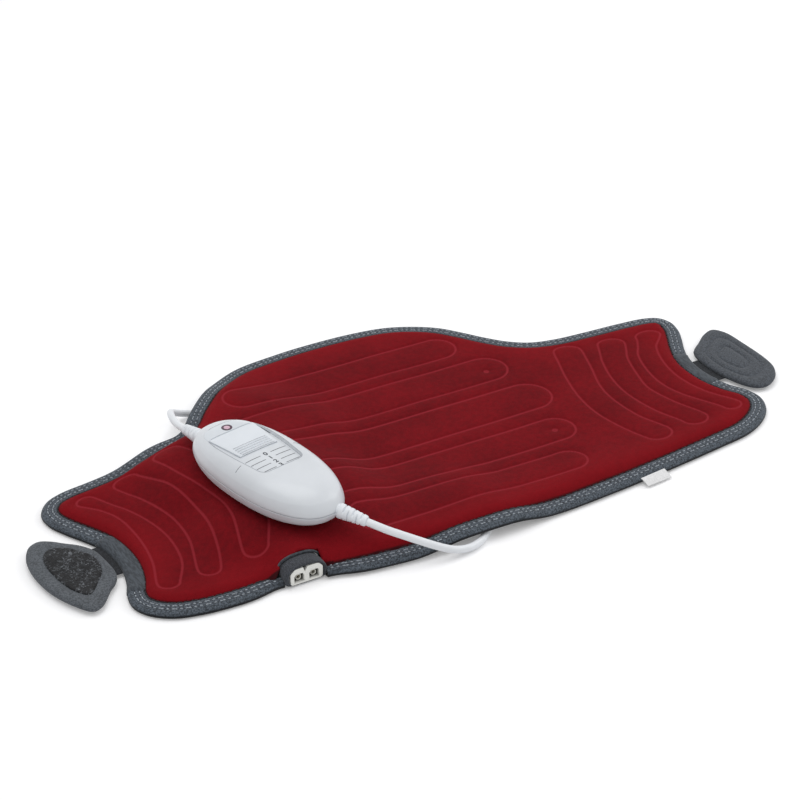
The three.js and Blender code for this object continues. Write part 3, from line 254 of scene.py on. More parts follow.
def coil_points():
    """The lead winds in, climbs a layer in half a turn, and winds out again on top of itself."""
    outer = COIL_INNER + COIL_PITCH * COIL_IN
    points = [(COIL_CENTRE[0] + 2 * LEAD, COIL_CENTRE[1] - outer, LEAD_LOW)]
    for i in range(round((COIL_IN + COIL_CLIMB + COIL_OUT) * COIL_STEPS) + 1):
        turn = i / COIL_STEPS
        climb = min(max((turn - COIL_IN) / COIL_CLIMB, 0), 1)
        radius = COIL_INNER + COIL_PITCH * (max(COIL_IN - turn, 0) + max(turn - COIL_IN - COIL_CLIMB, 0))
        radius -= CLIMB_DRAWN_IN * math.sin(math.pi * climb)
        angle = -math.pi / 2 - 2 * math.pi * turn
        height = LEAD_LOW + COIL_PITCH * (1 - math.cos(math.pi * climb)) / 2
        points.append((COIL_CENTRE[0] + radius * math.cos(angle), COIL_CENTRE[1] + radius * math.sin(angle), height))
    return points


coil = coil_points()
end_x, end_y, end_z = coil[-1]
MAINS_TAIL_ROUTE = [
    (end_x, end_y + LEAD, end_z), (end_x + 0.2, -43.5, end_z), (end_x + 1.2, -37.5, end_z),
    (PLUG_X - 4.3, -31.5, end_z - 0.1), (PLUG_X - 2.1, -25.5, end_z - 0.6), (PLUG_X - 0.5, -20, PLUG_MIDDLE + 0.6),
    (PLUG_X, -15.4, PLUG_MIDDLE),
]


def spline_through(points, step=2.0):
    """A centripetal spline through the points, with a point about every step."""
    p = [Vector(q) for q in points]
    p = [2 * p[0] - p[1]] + p + [2 * p[-1] - p[-2]]
    line = []
    for a, b, c, d in zip(p, p[1:], p[2:], p[3:]):
        t1 = (b - a).length ** 0.5
        t2 = t1 + (c - b).length ** 0.5
        t3 = t2 + (d - c).length ** 0.5
        count = max(1, round((c - b).length / step))
        for i in range(count):
            t = t1 + (t2 - t1) * i / count
            ab, bc, cd = a.lerp(b, t / t1), b.lerp(c, (t - t1) / (t2 - t1)), c.lerp(d, (t - t2) / (t3 - t2))
            abc, bcd = ab.lerp(bc, t / t2), bc.lerp(cd, (t - t1) / (t3 - t1))
            line.append(abc.lerp(bcd, (t - t1) / (t2 - t1)))
    return line + [p[-2]]


def in_metres(points):
    return [(Vector(q) + SHIFT) * MM for q in points]


def lead_curve(name, points):
    data = bpy.data.curves.new(name, "CURVE")
    data.dimensions = "3D"
    spline = data.splines.new("POLY")
    spline.points.add(len(points) - 1)
    for slot, q in zip(spline.points, points):
        slot.co = (*q, 1)
    data.bevel_depth, data.bevel_resolution, data.use_fill_caps = LEAD / 2 * MM, 4, True
    data.materials.append(sheath_white)
    lead = bpy.data.objects.new(name, data)
    scene.collection.objects.link(lead)
    return lead


pad_line = in_metres(spline_through(PAD_LEAD_ROUTE))
mains_line = in_metres(spline_through(MAINS_LEAD_ROUTE + coil + MAINS_TAIL_ROUTE[1:]))


def line_length(line):
    return sum((b - a).length for a, b in zip(line, line[1:]))


print("lead lengths", round(line_length(pad_line), 4), round(line_length(mains_line), 4))

# %% [markdown]
# ## The leads as curves
# Each lead is one unbroken curve, though the mains lead stands for three solids, which are hidden. It keeps still
# with the pad. Its row also names its far end, how it lies and what hangs on that end, but nothing here reads these.

# %% Make the leads
LEADS = [
    ("pad_lead_sheath", pad_line, ["pad_lead"], "connector", "loose", ["pad_coupling"]),
    ("mains_lead_sheath", mains_line, ["mains_lead", "mains_coil", "mains_tail"], "plug", "coiled",
     ["plug_body", "plug_pin_left", "plug_pin_right"]),
]
for name, line, stretches, far_end, lay, ends in LEADS:
    lead = lead_curve(name, line)
    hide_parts(*stretches)
    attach(lead, "pad")
for name in ("plug_body", "pad_coupling"):
    nodes[name].material_slots[0].material = sheath_white

# %% [markdown]
# ## The pad's plan
# Every layer of the pad has the same plan: a wide middle, two shaped wings and a notch at each end for the
# elastic tabs. The plan is one closed spline. Once each place knows how far it is from the pad's edge, the
# layers, the binding and the colour of the plush can all be worked out from that one distance.

# %% Trace the outline
HALF_LENGTH, HALF_DEPTH = 272, 148.5
OUTLINE_SHARES = [
    (0, -1), (0.184, -0.99), (0.368, -0.966), (0.551, -0.929), (0.717, -0.889), (0.827, -0.855),
    (0.893, -0.798), (0.941, -0.717), (0.963, -0.623), (0.956, -0.529), (0.93, -0.441), (0.914, -0.34),
    (0.91, -0.232), (0.919, -0.125), (0.941, -0.024), (0.971, 0.077), (0.993, 0.165), (1, 0.253),
    (0.982, 0.323), (0.941, 0.359), (0.864, 0.377), (0.735, 0.391), (0.643, 0.407), (0.577, 0.441),
    (0.526, 0.508), (0.482, 0.603), (0.441, 0.71), (0.397, 0.811), (0.338, 0.892), (0.257, 0.96),
    (0.147, 0.993), (0, 1), (-0.092, 0.99), (-0.221, 0.956), (-0.294, 0.892), (-0.371, 0.774),
    (-0.452, 0.62), (-0.493, 0.532), (-0.529, 0.478), (-0.596, 0.434), (-0.669, 0.394), (-0.743, 0.364),
    (-0.827, 0.34), (-0.904, 0.316), (-0.952, 0.273), (-0.982, 0.192), (-0.982, 0.098), (-0.96, -0.003),
    (-0.934, -0.094), (-0.91, -0.192), (-0.901, -0.293), (-0.903, -0.407), (-0.917, -0.512),
    (-0.939, -0.609), (-0.943, -0.69), (-0.923, -0.771), (-0.875, -0.842), (-0.809, -0.879),
    (-0.717, -0.896), (-0.607, -0.899), (-0.46, -0.939), (-0.331, -0.97), (-0.184, -0.993),
]


def closed_spline(points, step=1.0):
    """A closed centripetal spline: the open one over the points and their neighbours, less its first spans."""
    looped = [points[-1]] + list(points) + [points[0], points[1]]
    line = spline_through([(*q[:2], 0) for q in looped], step)
    flat = np.array([q[:2] for q in line])
    first = int(np.argmin(np.hypot(*(flat[:len(flat) // 3] - points[0]).T)))
    last = len(flat) // 2 + int(np.argmin(np.hypot(*(flat[len(flat) // 2:-1] - points[0]).T)))
    return flat[first:last]


def evenly(loop, count):
    """Points at equal steps along a closed loop."""
    closed = np.vstack([loop, loop[:1]])
    run = np.concatenate([[0], np.cumsum(np.hypot(*np.diff(closed, axis=0).T))])
    at = np.linspace(0, run[-1], count, endpoint=False)
    return np.stack([np.interp(at, run, closed[:, k]) for k in (0, 1)], axis=1), run[-1]


class Loops:
    """Signed distance to closed loops: positive inside one, and turned round inside a loop within a loop."""
    def __init__(self, loops, step=0.6):
        spots, inward = [], []
        for loop, sign in loops:
            length = evenly(loop, 4)[1]
            line = evenly(loop, max(24, round(length / step)))[0]
            along = np.roll(line, -1, 0) - np.roll(line, 1, 0)
            along /= np.hypot(*along.T)[:, None]
            area = np.sum(line[:, 0] * np.roll(line[:, 1], -1) - line[:, 1] * np.roll(line[:, 0], -1))
            turn = sign * (1 if area > 0 else -1)
            spots.append(line)
            inward.append(np.stack([-along[:, 1], along[:, 0]], axis=1) * turn)
        self.spots, self.inward = np.vstack(spots), np.vstack(inward)
        self.tree = kdtree.KDTree(len(self.spots))
        for i, (x, y) in enumerate(self.spots):
            self.tree.insert((x, y, 0), i)
        self.tree.balance()

    def inside(self, places):
        near = np.array([self.tree.find((x, y, 0))[1:3] for x, y in places])
        index, far = near[:, 0].astype(int), near[:, 1]
        dot = np.sum((places - self.spots[index]) * self.inward[index], axis=1)
        return np.where(far < 1.5, dot, np.sign(dot) * far)


outline = closed_spline([(x * HALF_LENGTH, y * HALF_DEPTH) for x, y in OUTLINE_SHARES])
edge = Loops([(outline, 1)])
RIM_STEPS = 720
rim, rim_length = evenly(outline, RIM_STEPS)
rim_along = np.roll(rim, -1, 0) - np.roll(rim, 1, 0)
rim_along /= np.hypot(*rim_along.T)[:, None]
rim_inward = np.stack([-rim_along[:, 1], rim_along[:, 0]], axis=1)
print("edge of the pad", round(rim_length), "mm")

# %% [markdown]
# ## How high the pad is lifted
# The stored coil, the plug and the coupling lie under the pad and lift it, and the layers drape over them. The
# solids hold that shape in flat facets. Here it is read off them by rays from above, and then smoothed, so that
# the cloth runs over the hump in one soft curve and still covers the layers inside.

# %% Read the lift off the solids and smooth it
RAY_FROM = 80


def surface_tree(name):
    mesh = nodes[name].data
    return BVHTree.FromPolygons([v.co for v in mesh.vertices], [p.vertices for p in mesh.polygons])


def world(x, y, z):
    return (Vector((x, y, z)) + SHIFT) * MM


def height_over(tree, x, y):
    hit = tree.ray_cast(world(x, y, RAY_FROM), Vector((0, 0, -1)))[0]
    return hit.z / MM if hit else None


PAD_TOP, BINDING_WIDTH, BINDING_TOP, BINDING_EDGE = 8.4, 11.8, 5.2, 4.4
COVER_FROM, BINDING_FROM, BINDING_TO = 16.5, 1, 11
LIFT_STEP, LIFT_SPREAD = 4.0, 7.0
cover_tree, binding_tree = surface_tree("top_cover"), surface_tree("edge_binding")
lift_x = np.arange(-280, 281, LIFT_STEP)
lift_y = np.arange(-160, 161, LIFT_STEP)
lift_places = np.array([(x, y) for y in lift_y for x in lift_x])
lift_insets = edge.inside(lift_places)
lift, known = np.zeros(len(lift_places)), np.zeros(len(lift_places))
for i, ((x, y), inset) in enumerate(zip(lift_places, lift_insets)):
    if inset > COVER_FROM:
        height, level = height_over(cover_tree, x, y), PAD_TOP
    elif BINDING_FROM < inset < BINDING_TO:
        height = height_over(binding_tree, x, y)
        level = BINDING_EDGE + (BINDING_TOP - BINDING_EDGE) * inset / BINDING_WIDTH
    else:
        continue
    if height is not None:
        lift[i], known[i] = height - level, 1
reach = np.arange(-5, 6) * LIFT_STEP
kernel = np.exp(-(reach / LIFT_SPREAD) ** 2 / 2)


def spread(field):
    field = field.reshape(len(lift_y), len(lift_x))
    for axis in (0, 1):
        field = np.apply_along_axis(lambda line: np.convolve(line, kernel, mode="same"), axis, field)
    return field


lift_grid = spread(lift * known) / np.maximum(spread(known), 1e-9)


def lift_at(places):
    """The lift at places of the plan, read between the points of the grid."""
    places = np.atleast_2d(places)
    u = np.clip((places[:, 0] - lift_x[0]) / LIFT_STEP, 0, len(lift_x) - 1.001)
    v = np.clip((places[:, 1] - lift_y[0]) / LIFT_STEP, 0, len(lift_y) - 1.001)
    i, j = u.astype(int), v.astype(int)
    a, b = u - i, v - j
    low = lift_grid[j, i] * (1 - a) + lift_grid[j, i + 1] * a
    high = lift_grid[j + 1, i] * (1 - a) + lift_grid[j + 1, i + 1] * a
    return low * (1 - b) + high * b


print("highest lift", round(float(lift_grid.max()), 2), "mm")

# %% [markdown]
# ## The pressed lines in the plush
# The heating channels show on top as long loops, pressed into the plush where the layers are welded together:
# five lying loops in the middle, each a little different in length, and three bent ones in each wing. Two of
# the middle ones hold a round weld. Each is given by its two ends or its sides, and rounded at the ends.

# %% Draw the loops
def lying_loop(left, right, back, front):
    radius = (back - front) / 2
    middle = (back + front) / 2
    turn = np.linspace(-np.pi / 2, np.pi / 2, 17)
    right_end = [(right - radius + radius * math.cos(t), middle + radius * math.sin(t)) for t in turn]
    left_end = [(left + radius - radius * math.cos(t), middle - radius * math.sin(t)) for t in turn]
    return np.array(right_end + left_end)


def round_loop(x, y, radius):
    turn = np.linspace(0, 2 * np.pi, 24, endpoint=False)
    return np.stack([x + radius * np.cos(turn), y + radius * np.sin(turn)], axis=1)


ROW_UP = 1.5
MIDDLE_LOOPS = [
    (-97, 100, 100, 70), (-112, 118, 56, 22), (-118, 125, 7, -30), (-108, 114, -46, -76), (-94, 96, -90, -117),
]
WELDS, WELD_RADIUS = [(100, 36), (98, -62)], 1.5
WING_LOOPS = [
    ([(160, 34), (155, 20), (148, 0), (140, -30), (138, -55), (142, -80), (149, -103)],
     [(181, 28), (177, 15), (172, 0), (163, -25), (160, -45), (163, -75), (172, -101)]),
    ([(195, 25), (190, 15), (185, 5), (177, -20), (174, -45), (178, -75), (186, -97)],
     [(217, 22), (211, 10), (205, 0), (197, -25), (193, -45), (197, -70), (207, -99)]),
    ([(228, 20), (222, 10), (215, 0), (208, -20), (205, -45), (209, -65), (224, -95)],
     [(250, 20), (243, 12), (235, 4), (225, -20), (222, -45), (227, -70), (240, -96)]),
    ([(-243, 18), (-238, 12), (-232, 5), (-225, -10), (-223, -40), (-227, -70), (-235, -95)],
     [(-229, 22), (-222, 8), (-215, -5), (-207, -30), (-205, -50), (-210, -80), (-220, -98)]),
    ([(-212, 26), (-208, 16), (-203, 5), (-197, -15), (-193, -35), (-195, -60), (-205, -94)],
     [(-193, 27), (-187, 13), (-182, 0), (-177, -30), (-178, -55), (-184, -82), (-190, -98)]),
    ([(-178, 32), (-175, 18), (-172, 5), (-165, -20), (-162, -40), (-163, -60), (-172, -95)],
     [(-156, 35), (-150, 20), (-144, 5), (-138, -25), (-138, -50), (-143, -75), (-155, -99)]),
]


def bent_loop(first_side, second_side):
    """A loop from its two sides, each from the back to the front, with a rounded end between them."""
    def end(start, stop, reach):
        a, b = np.array(start, float), np.array(stop, float)
        half = (b - a) / 2
        out = np.array([half[1], -half[0]]) * reach
        turn = np.linspace(0, np.pi, 7)[1:-1]
        return [tuple((a + b) / 2 - half * math.cos(t) + out * math.sin(t)) for t in turn]
    front, back = end(first_side[-1], second_side[-1], 0.85), end(second_side[0], first_side[0], 0.75)
    return list(first_side) + front + list(second_side[::-1]) + back


loops = [(lying_loop(left, right, back + ROW_UP, front + ROW_UP), 1) for left, right, back, front in MIDDLE_LOOPS]
loops += [(closed_spline([(x, y + ROW_UP) for x, y in bent_loop(*sides)]), 1) for sides in WING_LOOPS]
loops += [(round_loop(x, y + ROW_UP, WELD_RADIUS), -1) for x, y in WELDS]
pressed = Loops(loops)
print("pressed loops", len(loops))

# %% [markdown]
# ## Cloths of the pad
# The plush is a deep red micro-fleece: its pile takes the light softly, and a painted sheen lies lighter where a
# weld presses it flat. A painted highlight brightens it near the binding, where the pile is pulled tight over the
# rolled edge, and a painted shadow darkens it where it runs under the binding. The binding is a grey jersey of
# mixed fibres, turned under to a black lining. Painted shade darkens its seam grooves and its inner edge beside the
# dark thread, and its foot is near black, partly that lining and partly a painted shadow on the floor. Threads are
# a lighter grey on top and dark along the inner edge.

# %% Make the cloth finishes
def plush_finish():
    f = finish("plush", Sheen_Weight=0.12, Sheen_Roughness=0.45, Sheen_Tint=rgb(190, 40, 52), Specular_IOR_Level=0.12)
    pile, lay, cloud = f.noise(1300.0, detail=2.0), f.noise(260.0, detail=4.0), f.noise(22.0, detail=2.0)
    # Painted sheen: the welded lines are painted lighter, where the flattened pile catches the light.
    line = 1 - f.attribute("pressed").size().between(0.35, 1.35)
    inset = f.attribute("inset")
    # Painted highlight: the plush is painted brighter near the binding, where its rolled edge catches the light.
    rim_highlight = 1 - inset.between(11.0, 46.0)
    tone = cloud.between(0.3, 0.7) * 0.35 + lay.between(0.25, 0.75) * 0.4 + pile.between(0.3, 0.7) * 0.25
    shade = f.mix(tone, rgb(86, 4, 12), rgb(121, 9, 20))
    shade = f.mix(rim_highlight * 0.5, shade, rgb(133, 9, 20))
    shade = f.mix(line * 0.7, shade, rgb(143, 38, 48))
    # Painted shadow: a near-black line where the plush runs under the binding.
    shade = f.mix((1 - inset.between(12.1, 13.4)) * 0.9, shade, rgb(36, 10, 14))
    fur = f.bump(pile * 0.6 + lay * 0.4, 0.0006, 0.6)
    return f.set(Base_Color=shade, Roughness=pile * 0.1 + 0.84, Normal=fur)


def jersey_finish(name, colour, dark=0.72, light=1.28, stretch=(1, 1, 1), roughness=0.92):
    f = finish(name, Sheen_Weight=0.12, Specular_IOR_Level=0.2, Roughness=roughness)
    fibre, knit = f.noise(950.0, detail=2.0, stretch=stretch), f.noise(2300.0, detail=1.0)
    cloud = f.noise(70.0)
    shade = f.mix(fibre.between(0.34, 0.66), tinted(colour, dark), tinted(colour, light))
    shade = f.mix(cloud * 0.4, shade, rgb(*colour))
    return f, shade, f.bump(fibre * 0.6 + knit * 0.4, 0.0003, 0.7)


def plain_jersey(name, colour, **kw):
    f, shade, weave = jersey_finish(name, colour, **kw)
    return f.set(Base_Color=shade, Normal=weave)


SEAM_ROWS = (4.9, 8.3)


def binding_finish():
    f, shade, weave = jersey_finish("binding", (70, 76, 83), dark=0.6, light=1.4)
    inset = f.attribute("outward")
    # Near black at the foot, partly the black lining and partly a painted shadow on the floor, and at the inner edge,
    # partly the dark thread and partly painted shade in the gap to the plush.
    lower, inner = 1 - f.attribute("rise").between(2.1, 3.5), inset.between(10.5, 11.5)
    # Painted shade in the seam grooves along the two rows of stitches.
    seam_shade = [1 - (inset - at).size().between(0.35, 1.1) for at in SEAM_ROWS]
    shade = f.mix(seam_shade[0].most(seam_shade[1]) * 0.5, shade, rgb(40, 44, 50))
    return f.set(Base_Color=f.mix(lower.most(inner), shade, rgb(22, 24, 27)), Normal=weave)


plush, binding_cloth = plush_finish(), binding_finish()
felt = plain_jersey("tab_felt", (83, 87, 92), dark=0.78, light=1.2)
dark_felt = plain_jersey("right_tab_felt", (71, 75, 81), dark=0.78, light=1.2)
band_cloth = plain_jersey("elastic_band", (68, 73, 79), dark=0.8, light=1.15, stretch=(1, 0.25, 1))
lining = plain_jersey("lining", (36, 38, 42))
fleece = plain_jersey("fleece", (206, 201, 192), dark=0.92, light=1.05)
thread = plain_jersey("stitching_thread", (154, 161, 169), dark=0.85, light=1.1)
dark_thread = plain_jersey("edge_thread", (34, 36, 40))
satin = plain_jersey("tag_satin", (226, 226, 227), dark=0.96, light=1.03)
print("cloth finishes made")

# %% [markdown]
# ## A layer of the pad
# A layer starts as a flat grid over the whole plan. What lies outside the edge is deleted, the border is drawn
# onto its true line, and the grid is extruded into a slab. Then its two sides are put at their heights. The
# layers leave a notch at the front for the socket. A grid bends evenly, where a filled outline would have long
# thin faces.

# %% A slab from a grid, and a finished piece from a mesh
NOTCH_X, NOTCH_HALF, NOTCH_BACK, HOOD_BACK = -144, 16.3, -105.7, -118.5
OVERHANG, NUDGE = 0.3, 0.05


def finished(name, bm, material, body="pad", node=None, outwards=True):
    """A piece from a mesh, on the body it rides on, with the node it stands for hidden."""
    if outwards:
        bmesh.ops.recalc_face_normals(bm, faces=bm.faces)
    for face in bm.faces:
        face.smooth = True
    mesh = bpy.data.meshes.new(name)
    bm.to_mesh(mesh)
    bm.free()
    mesh.materials.append(material)
    piece = bpy.data.objects.new(name, mesh)
    scene.collection.objects.link(piece)
    if body:
        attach(piece, body)
    if node:
        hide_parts(node)
    return piece


def merged(parts):
    whole = bmesh.new()
    for part in parts:
        skin = bpy.data.meshes.new("skin")
        part.to_mesh(skin)
        part.free()
        whole.from_mesh(skin)
        bpy.data.meshes.remove(skin)
    return whole


def joined(name, parts, material, body="pad", node=None):
    return finished(name, merged(parts), material, body, node, outwards=False)


def room_in_plan(places, inset, notch_back, notch_half):
    """How far places lie inside the plan's inset line, and outside the socket's notch."""
    away = np.maximum(np.abs(places[:, 0] - NOTCH_X) - notch_half, places[:, 1] - notch_back)
    return np.minimum(edge.inside(places) - inset, away)


def slab(step, inset, under, over, notch_back=NOTCH_BACK, notch_half=NOTCH_HALF):
    """A layer inside the inset line, between two heights that are given as functions of places and insets."""
    bm = bmesh.new()
    counts = [round(2 * half / step) for half in (HALF_LENGTH, HALF_DEPTH)]
    bmesh.ops.create_grid(bm, x_segments=counts[0], y_segments=counts[1], size=1)
    bmesh.ops.scale(bm, vec=(HALF_LENGTH, HALF_DEPTH, 1), verts=bm.verts)
    places = np.array([v.co[:2] for v in bm.verts])
    outside = room_in_plan(places, inset, notch_back, notch_half) < -OVERHANG * step
    bmesh.ops.delete(bm, geom=[v for v, out in zip(bm.verts, outside) if out], context="VERTS")
    for _ in range(3):
        pinched = [v for v in bm.verts if len(v.link_faces) < 2 or sum(e.is_boundary for e in v.link_edges) > 2]
        bmesh.ops.delete(bm, geom=pinched, context="VERTS")
    border = [v for v in bm.verts if v.is_boundary]
    for _ in range(2):
        at = np.array([v.co[:2] for v in border])
        room = room_in_plan(at, inset, notch_back, notch_half)
        nudged = [room_in_plan(at + shift, inset, notch_back, notch_half) for shift in ((NUDGE, 0), (0, NUDGE))]
        slope = (np.stack(nudged, axis=1) - room[:, None]) / NUDGE
        at -= slope * (room / np.maximum(np.sum(slope ** 2, axis=1), 0.5))[:, None]
        for v, (x, y) in zip(border, at):
            v.co.x, v.co.y = x, y
    lower = list(bm.verts)
    raised = bmesh.ops.extrude_face_region(bm, geom=bm.faces[:])["geom"]
    upper = [g for g in raised if isinstance(g, bmesh.types.BMVert)]
    for verts, height in ((lower, under), (upper, over)):
        places = np.array([v.co[:2] for v in verts])
        insets = edge.inside(places)
        for v, z in zip(verts, height(places, insets)):
            v.co.z = z
    bmesh.ops.translate(bm, vec=SHIFT, verts=bm.verts)
    bmesh.ops.scale(bm, vec=(MM, MM, MM), verts=bm.verts)
    return bm


def store(piece, name, values):
    piece.data.attributes.new(name, "FLOAT", "POINT").data.foreach_set("value", np.asarray(values, dtype=np.float32))


def plan_of(piece):
    return np.array([(v.co.x / MM, v.co.y / MM - SHIFT.y) for v in piece.data.vertices])

# %% [markdown]
# ## The plush
# The plush rises from under the binding in a soft roll, swells a little between the welds, and is pressed in
# along them. A faint unevenness keeps it from looking like a moulded sheet, and it bulges over the socket. Two
# layers of fleece and the lining lie under it, and follow the same lift. Each face is one formula for its height
# at a place, so that no layer cuts through the next.

# %% Make the plush, the fleeces and the lining
PLUSH_INSET, PLUSH_RIM, PLUSH_UNDER, ROLL_START, ROLL_WIDTH = 9.5, 3.75, (2.3, 6.25), 11.6, 2.7
SWELL, SWELL_REACH, WELD_DEPTH, WELD_WIDTH, WAVINESS = 0.5, 7, 0.9, 1.45, 0.9
PLUSH_CROWN, HOOD_REACH, ARCH_FALL, ARCH_FADE = 17.4, 26, 0.0195, 9
random = np.random.default_rng(4)
TURN = 2 * np.pi
WAVES = [(random.uniform(0.035, 0.12), random.uniform(0, TURN), random.uniform(0, TURN)) for _ in range(18)]


def unevenness(places):
    total = np.zeros(len(places))
    for rate, heading, phase in WAVES:
        total += np.sin(rate * (places[:, 0] * math.cos(heading) + places[:, 1] * math.sin(heading)) + phase)
    return total / len(WAVES)


def roll(insets):
    """The share of the full height that a layer has reached at its rolled edge."""
    return 1 - np.exp(-np.maximum((insets - ROLL_START) / ROLL_WIDTH, 0) ** 1.2)


def plush_top(places, insets):
    line, rise = pressed.inside(places), roll(insets)
    swell = SWELL * (1 - np.exp(-(line / SWELL_REACH) ** 2)) - WELD_DEPTH * np.exp(-(line / WELD_WIDTH) ** 2)
    level = PLUSH_RIM + (PAD_TOP - PLUSH_RIM) * rise + (swell + WAVINESS * unevenness(places)) * rise ** 2
    return over_hood(places, level + lift_at(places), PLUSH_CROWN)


def over_hood(places, level, crown):
    """The level, or the arch over the socket's hood where that is higher, with a soft change between them."""
    back = np.clip((places[:, 1] - NOTCH_BACK + 2) / HOOD_REACH, 0, 1)
    arch = (crown - ARCH_FALL * (places[:, 0] - NOTCH_X) ** 2) * (1 - back * back * (3 - 2 * back))
    arch = arch * (1 - 0.6 * np.clip((HOOD_BACK - places[:, 1]) / ARCH_FADE, 0, 1))
    return (level ** 8 + np.maximum(arch, 0) ** 8) ** 0.125


def plush_under(places, insets):
    low, high = PLUSH_UNDER
    return over_hood(places, low + (high - low) * roll(insets) + lift_at(places), PLUSH_CROWN - 1)


FLEECE_INSET, FLEECE_TOP, LOWER_FLEECE_TOP, FLEECE_THICK = 15.5, 5.95, 2.3, 0.75
LINING_INSET, LINING_STEP, PLUSH_NOTCH_HALF = 9.0, 12.5, 14.9
FLEECE_GRID, LINING_GRID, PLUSH_GRID = 6.0, 5.0, 1.6


def upper_fleece(places, insets):
    return np.minimum(FLEECE_TOP + lift_at(places), plush_under(places, insets) - 0.25)


def lower_fleece(places, insets):
    return LOWER_FLEECE_TOP + lift_at(places)


def lining_face(at_rim, inside):
    """A face of the lining, which lies higher where the binding's lower fold runs under it."""
    return lambda places, insets: np.where(insets < LINING_STEP, at_rim, inside) + lift_at(places)


for name, over in (("upper", upper_fleece), ("lower", lower_fleece)):
    fleece_mesh = slab(FLEECE_GRID, FLEECE_INSET, lambda p, i: over(p, i) - FLEECE_THICK, over)
    finished(name + "_wadding", fleece_mesh, fleece, node=name + "_fleece")
plush_mesh = slab(PLUSH_GRID, PLUSH_INSET, plush_under, plush_top, HOOD_BACK, PLUSH_NOTCH_HALF)
plush_piece = finished("plush_top", plush_mesh, plush, node="top_cover")
plan = plan_of(plush_piece)
store(plush_piece, "pressed", pressed.inside(plan))
store(plush_piece, "inset", edge.inside(plan))
lining_mesh = slab(LINING_GRID, LINING_INSET, lining_face(0.95, 0.05), lining_face(1.8, 1.1))
lining_piece = finished("pad_lining", lining_mesh, lining, node="bottom_cover")
print("plush faces", len(plush_piece.data.polygons), "lining faces", len(lining_piece.data.polygons))

# %% [markdown]
# ## Bending a grid
# Most of the pieces below are one section swept along a line. A curve with a bevel could do that, but here the
# section has to stay upright, follow the lift and change on its way. So a flat grid is bent instead: one way
# runs along the line, the other round the section, and a function says where each of its corners goes.

# %% A grid bent into shape
def close_ends(bm):
    bmesh.ops.holes_fill(bm, edges=[e for e in bm.edges if e.is_boundary], sides=0)


def bent_grid(along, round_it, place, closed=False):
    """A grid whose corners are moved to place(u, v). Its rolled edges meet, and are merged."""
    bm = bmesh.new()
    bm.loops.layers.uv.new("UVMap")
    bmesh.ops.create_grid(bm, x_segments=along, y_segments=round_it, size=1, calc_uvs=True)
    for v in bm.verts:
        v.co = world(*place((v.co.x + 1) / 2, (v.co.y + 1) / 2))
    bmesh.ops.remove_doubles(bm, verts=bm.verts, dist=1e-7)
    bmesh.ops.dissolve_degenerate(bm, edges=bm.edges, dist=1e-8)
    if closed:
        close_ends(bm)
    return bm


def pick(section, share):
    """The point of a closed section at a share of the way round it."""
    return section[round(share * len(section)) % len(section)]


RIM_MIDDLE, BAY_FADE = 6, 24
SOCKET_BAY, BAY_WIDTH = 4.2, 15
rim_lift = lift_at(rim + rim_inward * RIM_MIDDLE)
print("highest lift along the edge", round(float(rim_lift.max()), 2), "mm")


def on_rim(step, inset, height):
    """A place of the binding, which turns in a little beside the socket."""
    i = step % RIM_STEPS
    x, y = rim[i] + rim_inward[i] * inset
    if y < NOTCH_BACK:
        beside = max(0, abs(x - NOTCH_X) - NOTCH_HALF)
        y += SOCKET_BAY * math.exp(-(beside / BAY_WIDTH) ** 2) * (1 - inset / BAY_FADE)
    return x, y, height + rim_lift[i]

# %% [markdown]
# ## The binding
# A strip of jersey is folded round the edge of the layers and sewn down. Its section is drawn as a closed
# outline with a shallow groove for the seam, and swept once round the pad. It stops at the socket.

# %% Sweep the binding
BINDING_SECTION = [
    (11.9, 4.1), (12.1, 4.5), (11.8, 5.0), (11.0, 5.3), (9.6, 5.45), (8.3, 5.2), (6.6, 5.5), (4.9, 5.15),
    (3.2, 5.15), (1.9, 4.75), (0.9, 4.05), (0.3, 3.2), (0.05, 2.3), (0.15, 1.3), (0.7, 0.5), (1.8, 0.1),
    (4, 0.0), (8, 0.0), (11.9, 0.05), (12.1, 0.4), (11.8, 0.8), (6, 0.85), (1.8, 0.95), (1.6, 2.3),
    (1.9, 3.9), (6, 4.0),
]
BINDING_GAP_HALF = NOTCH_HALF - 2.6
binding_mesh = bent_grid(RIM_STEPS, len(BINDING_SECTION),
                         lambda u, v: on_rim(round(u * RIM_STEPS), *pick(BINDING_SECTION, v)))
gone = [v for v in binding_mesh.verts
        if abs(v.co.x / MM - NOTCH_X) < BINDING_GAP_HALF and v.co.y / MM < NOTCH_BACK]
bmesh.ops.delete(binding_mesh, geom=gone, context="VERTS")
close_ends(binding_mesh)
binding = finished("jersey_binding", binding_mesh, binding_cloth, node="edge_binding")
plan = plan_of(binding)
store(binding, "outward", edge.inside(plan))
store(binding, "rise", [v.co.z / MM for v in binding.data.vertices] - lift_at(plan))
print("binding faces", len(binding.data.polygons))

# %% [markdown]
# ## The stitches
# Two rows of light thread hold the binding, and a dark one runs along its inner edge. A row could be painted on,
# but single stitches catch the light. Each is a small lozenge, copied along the edge and turned to follow it.

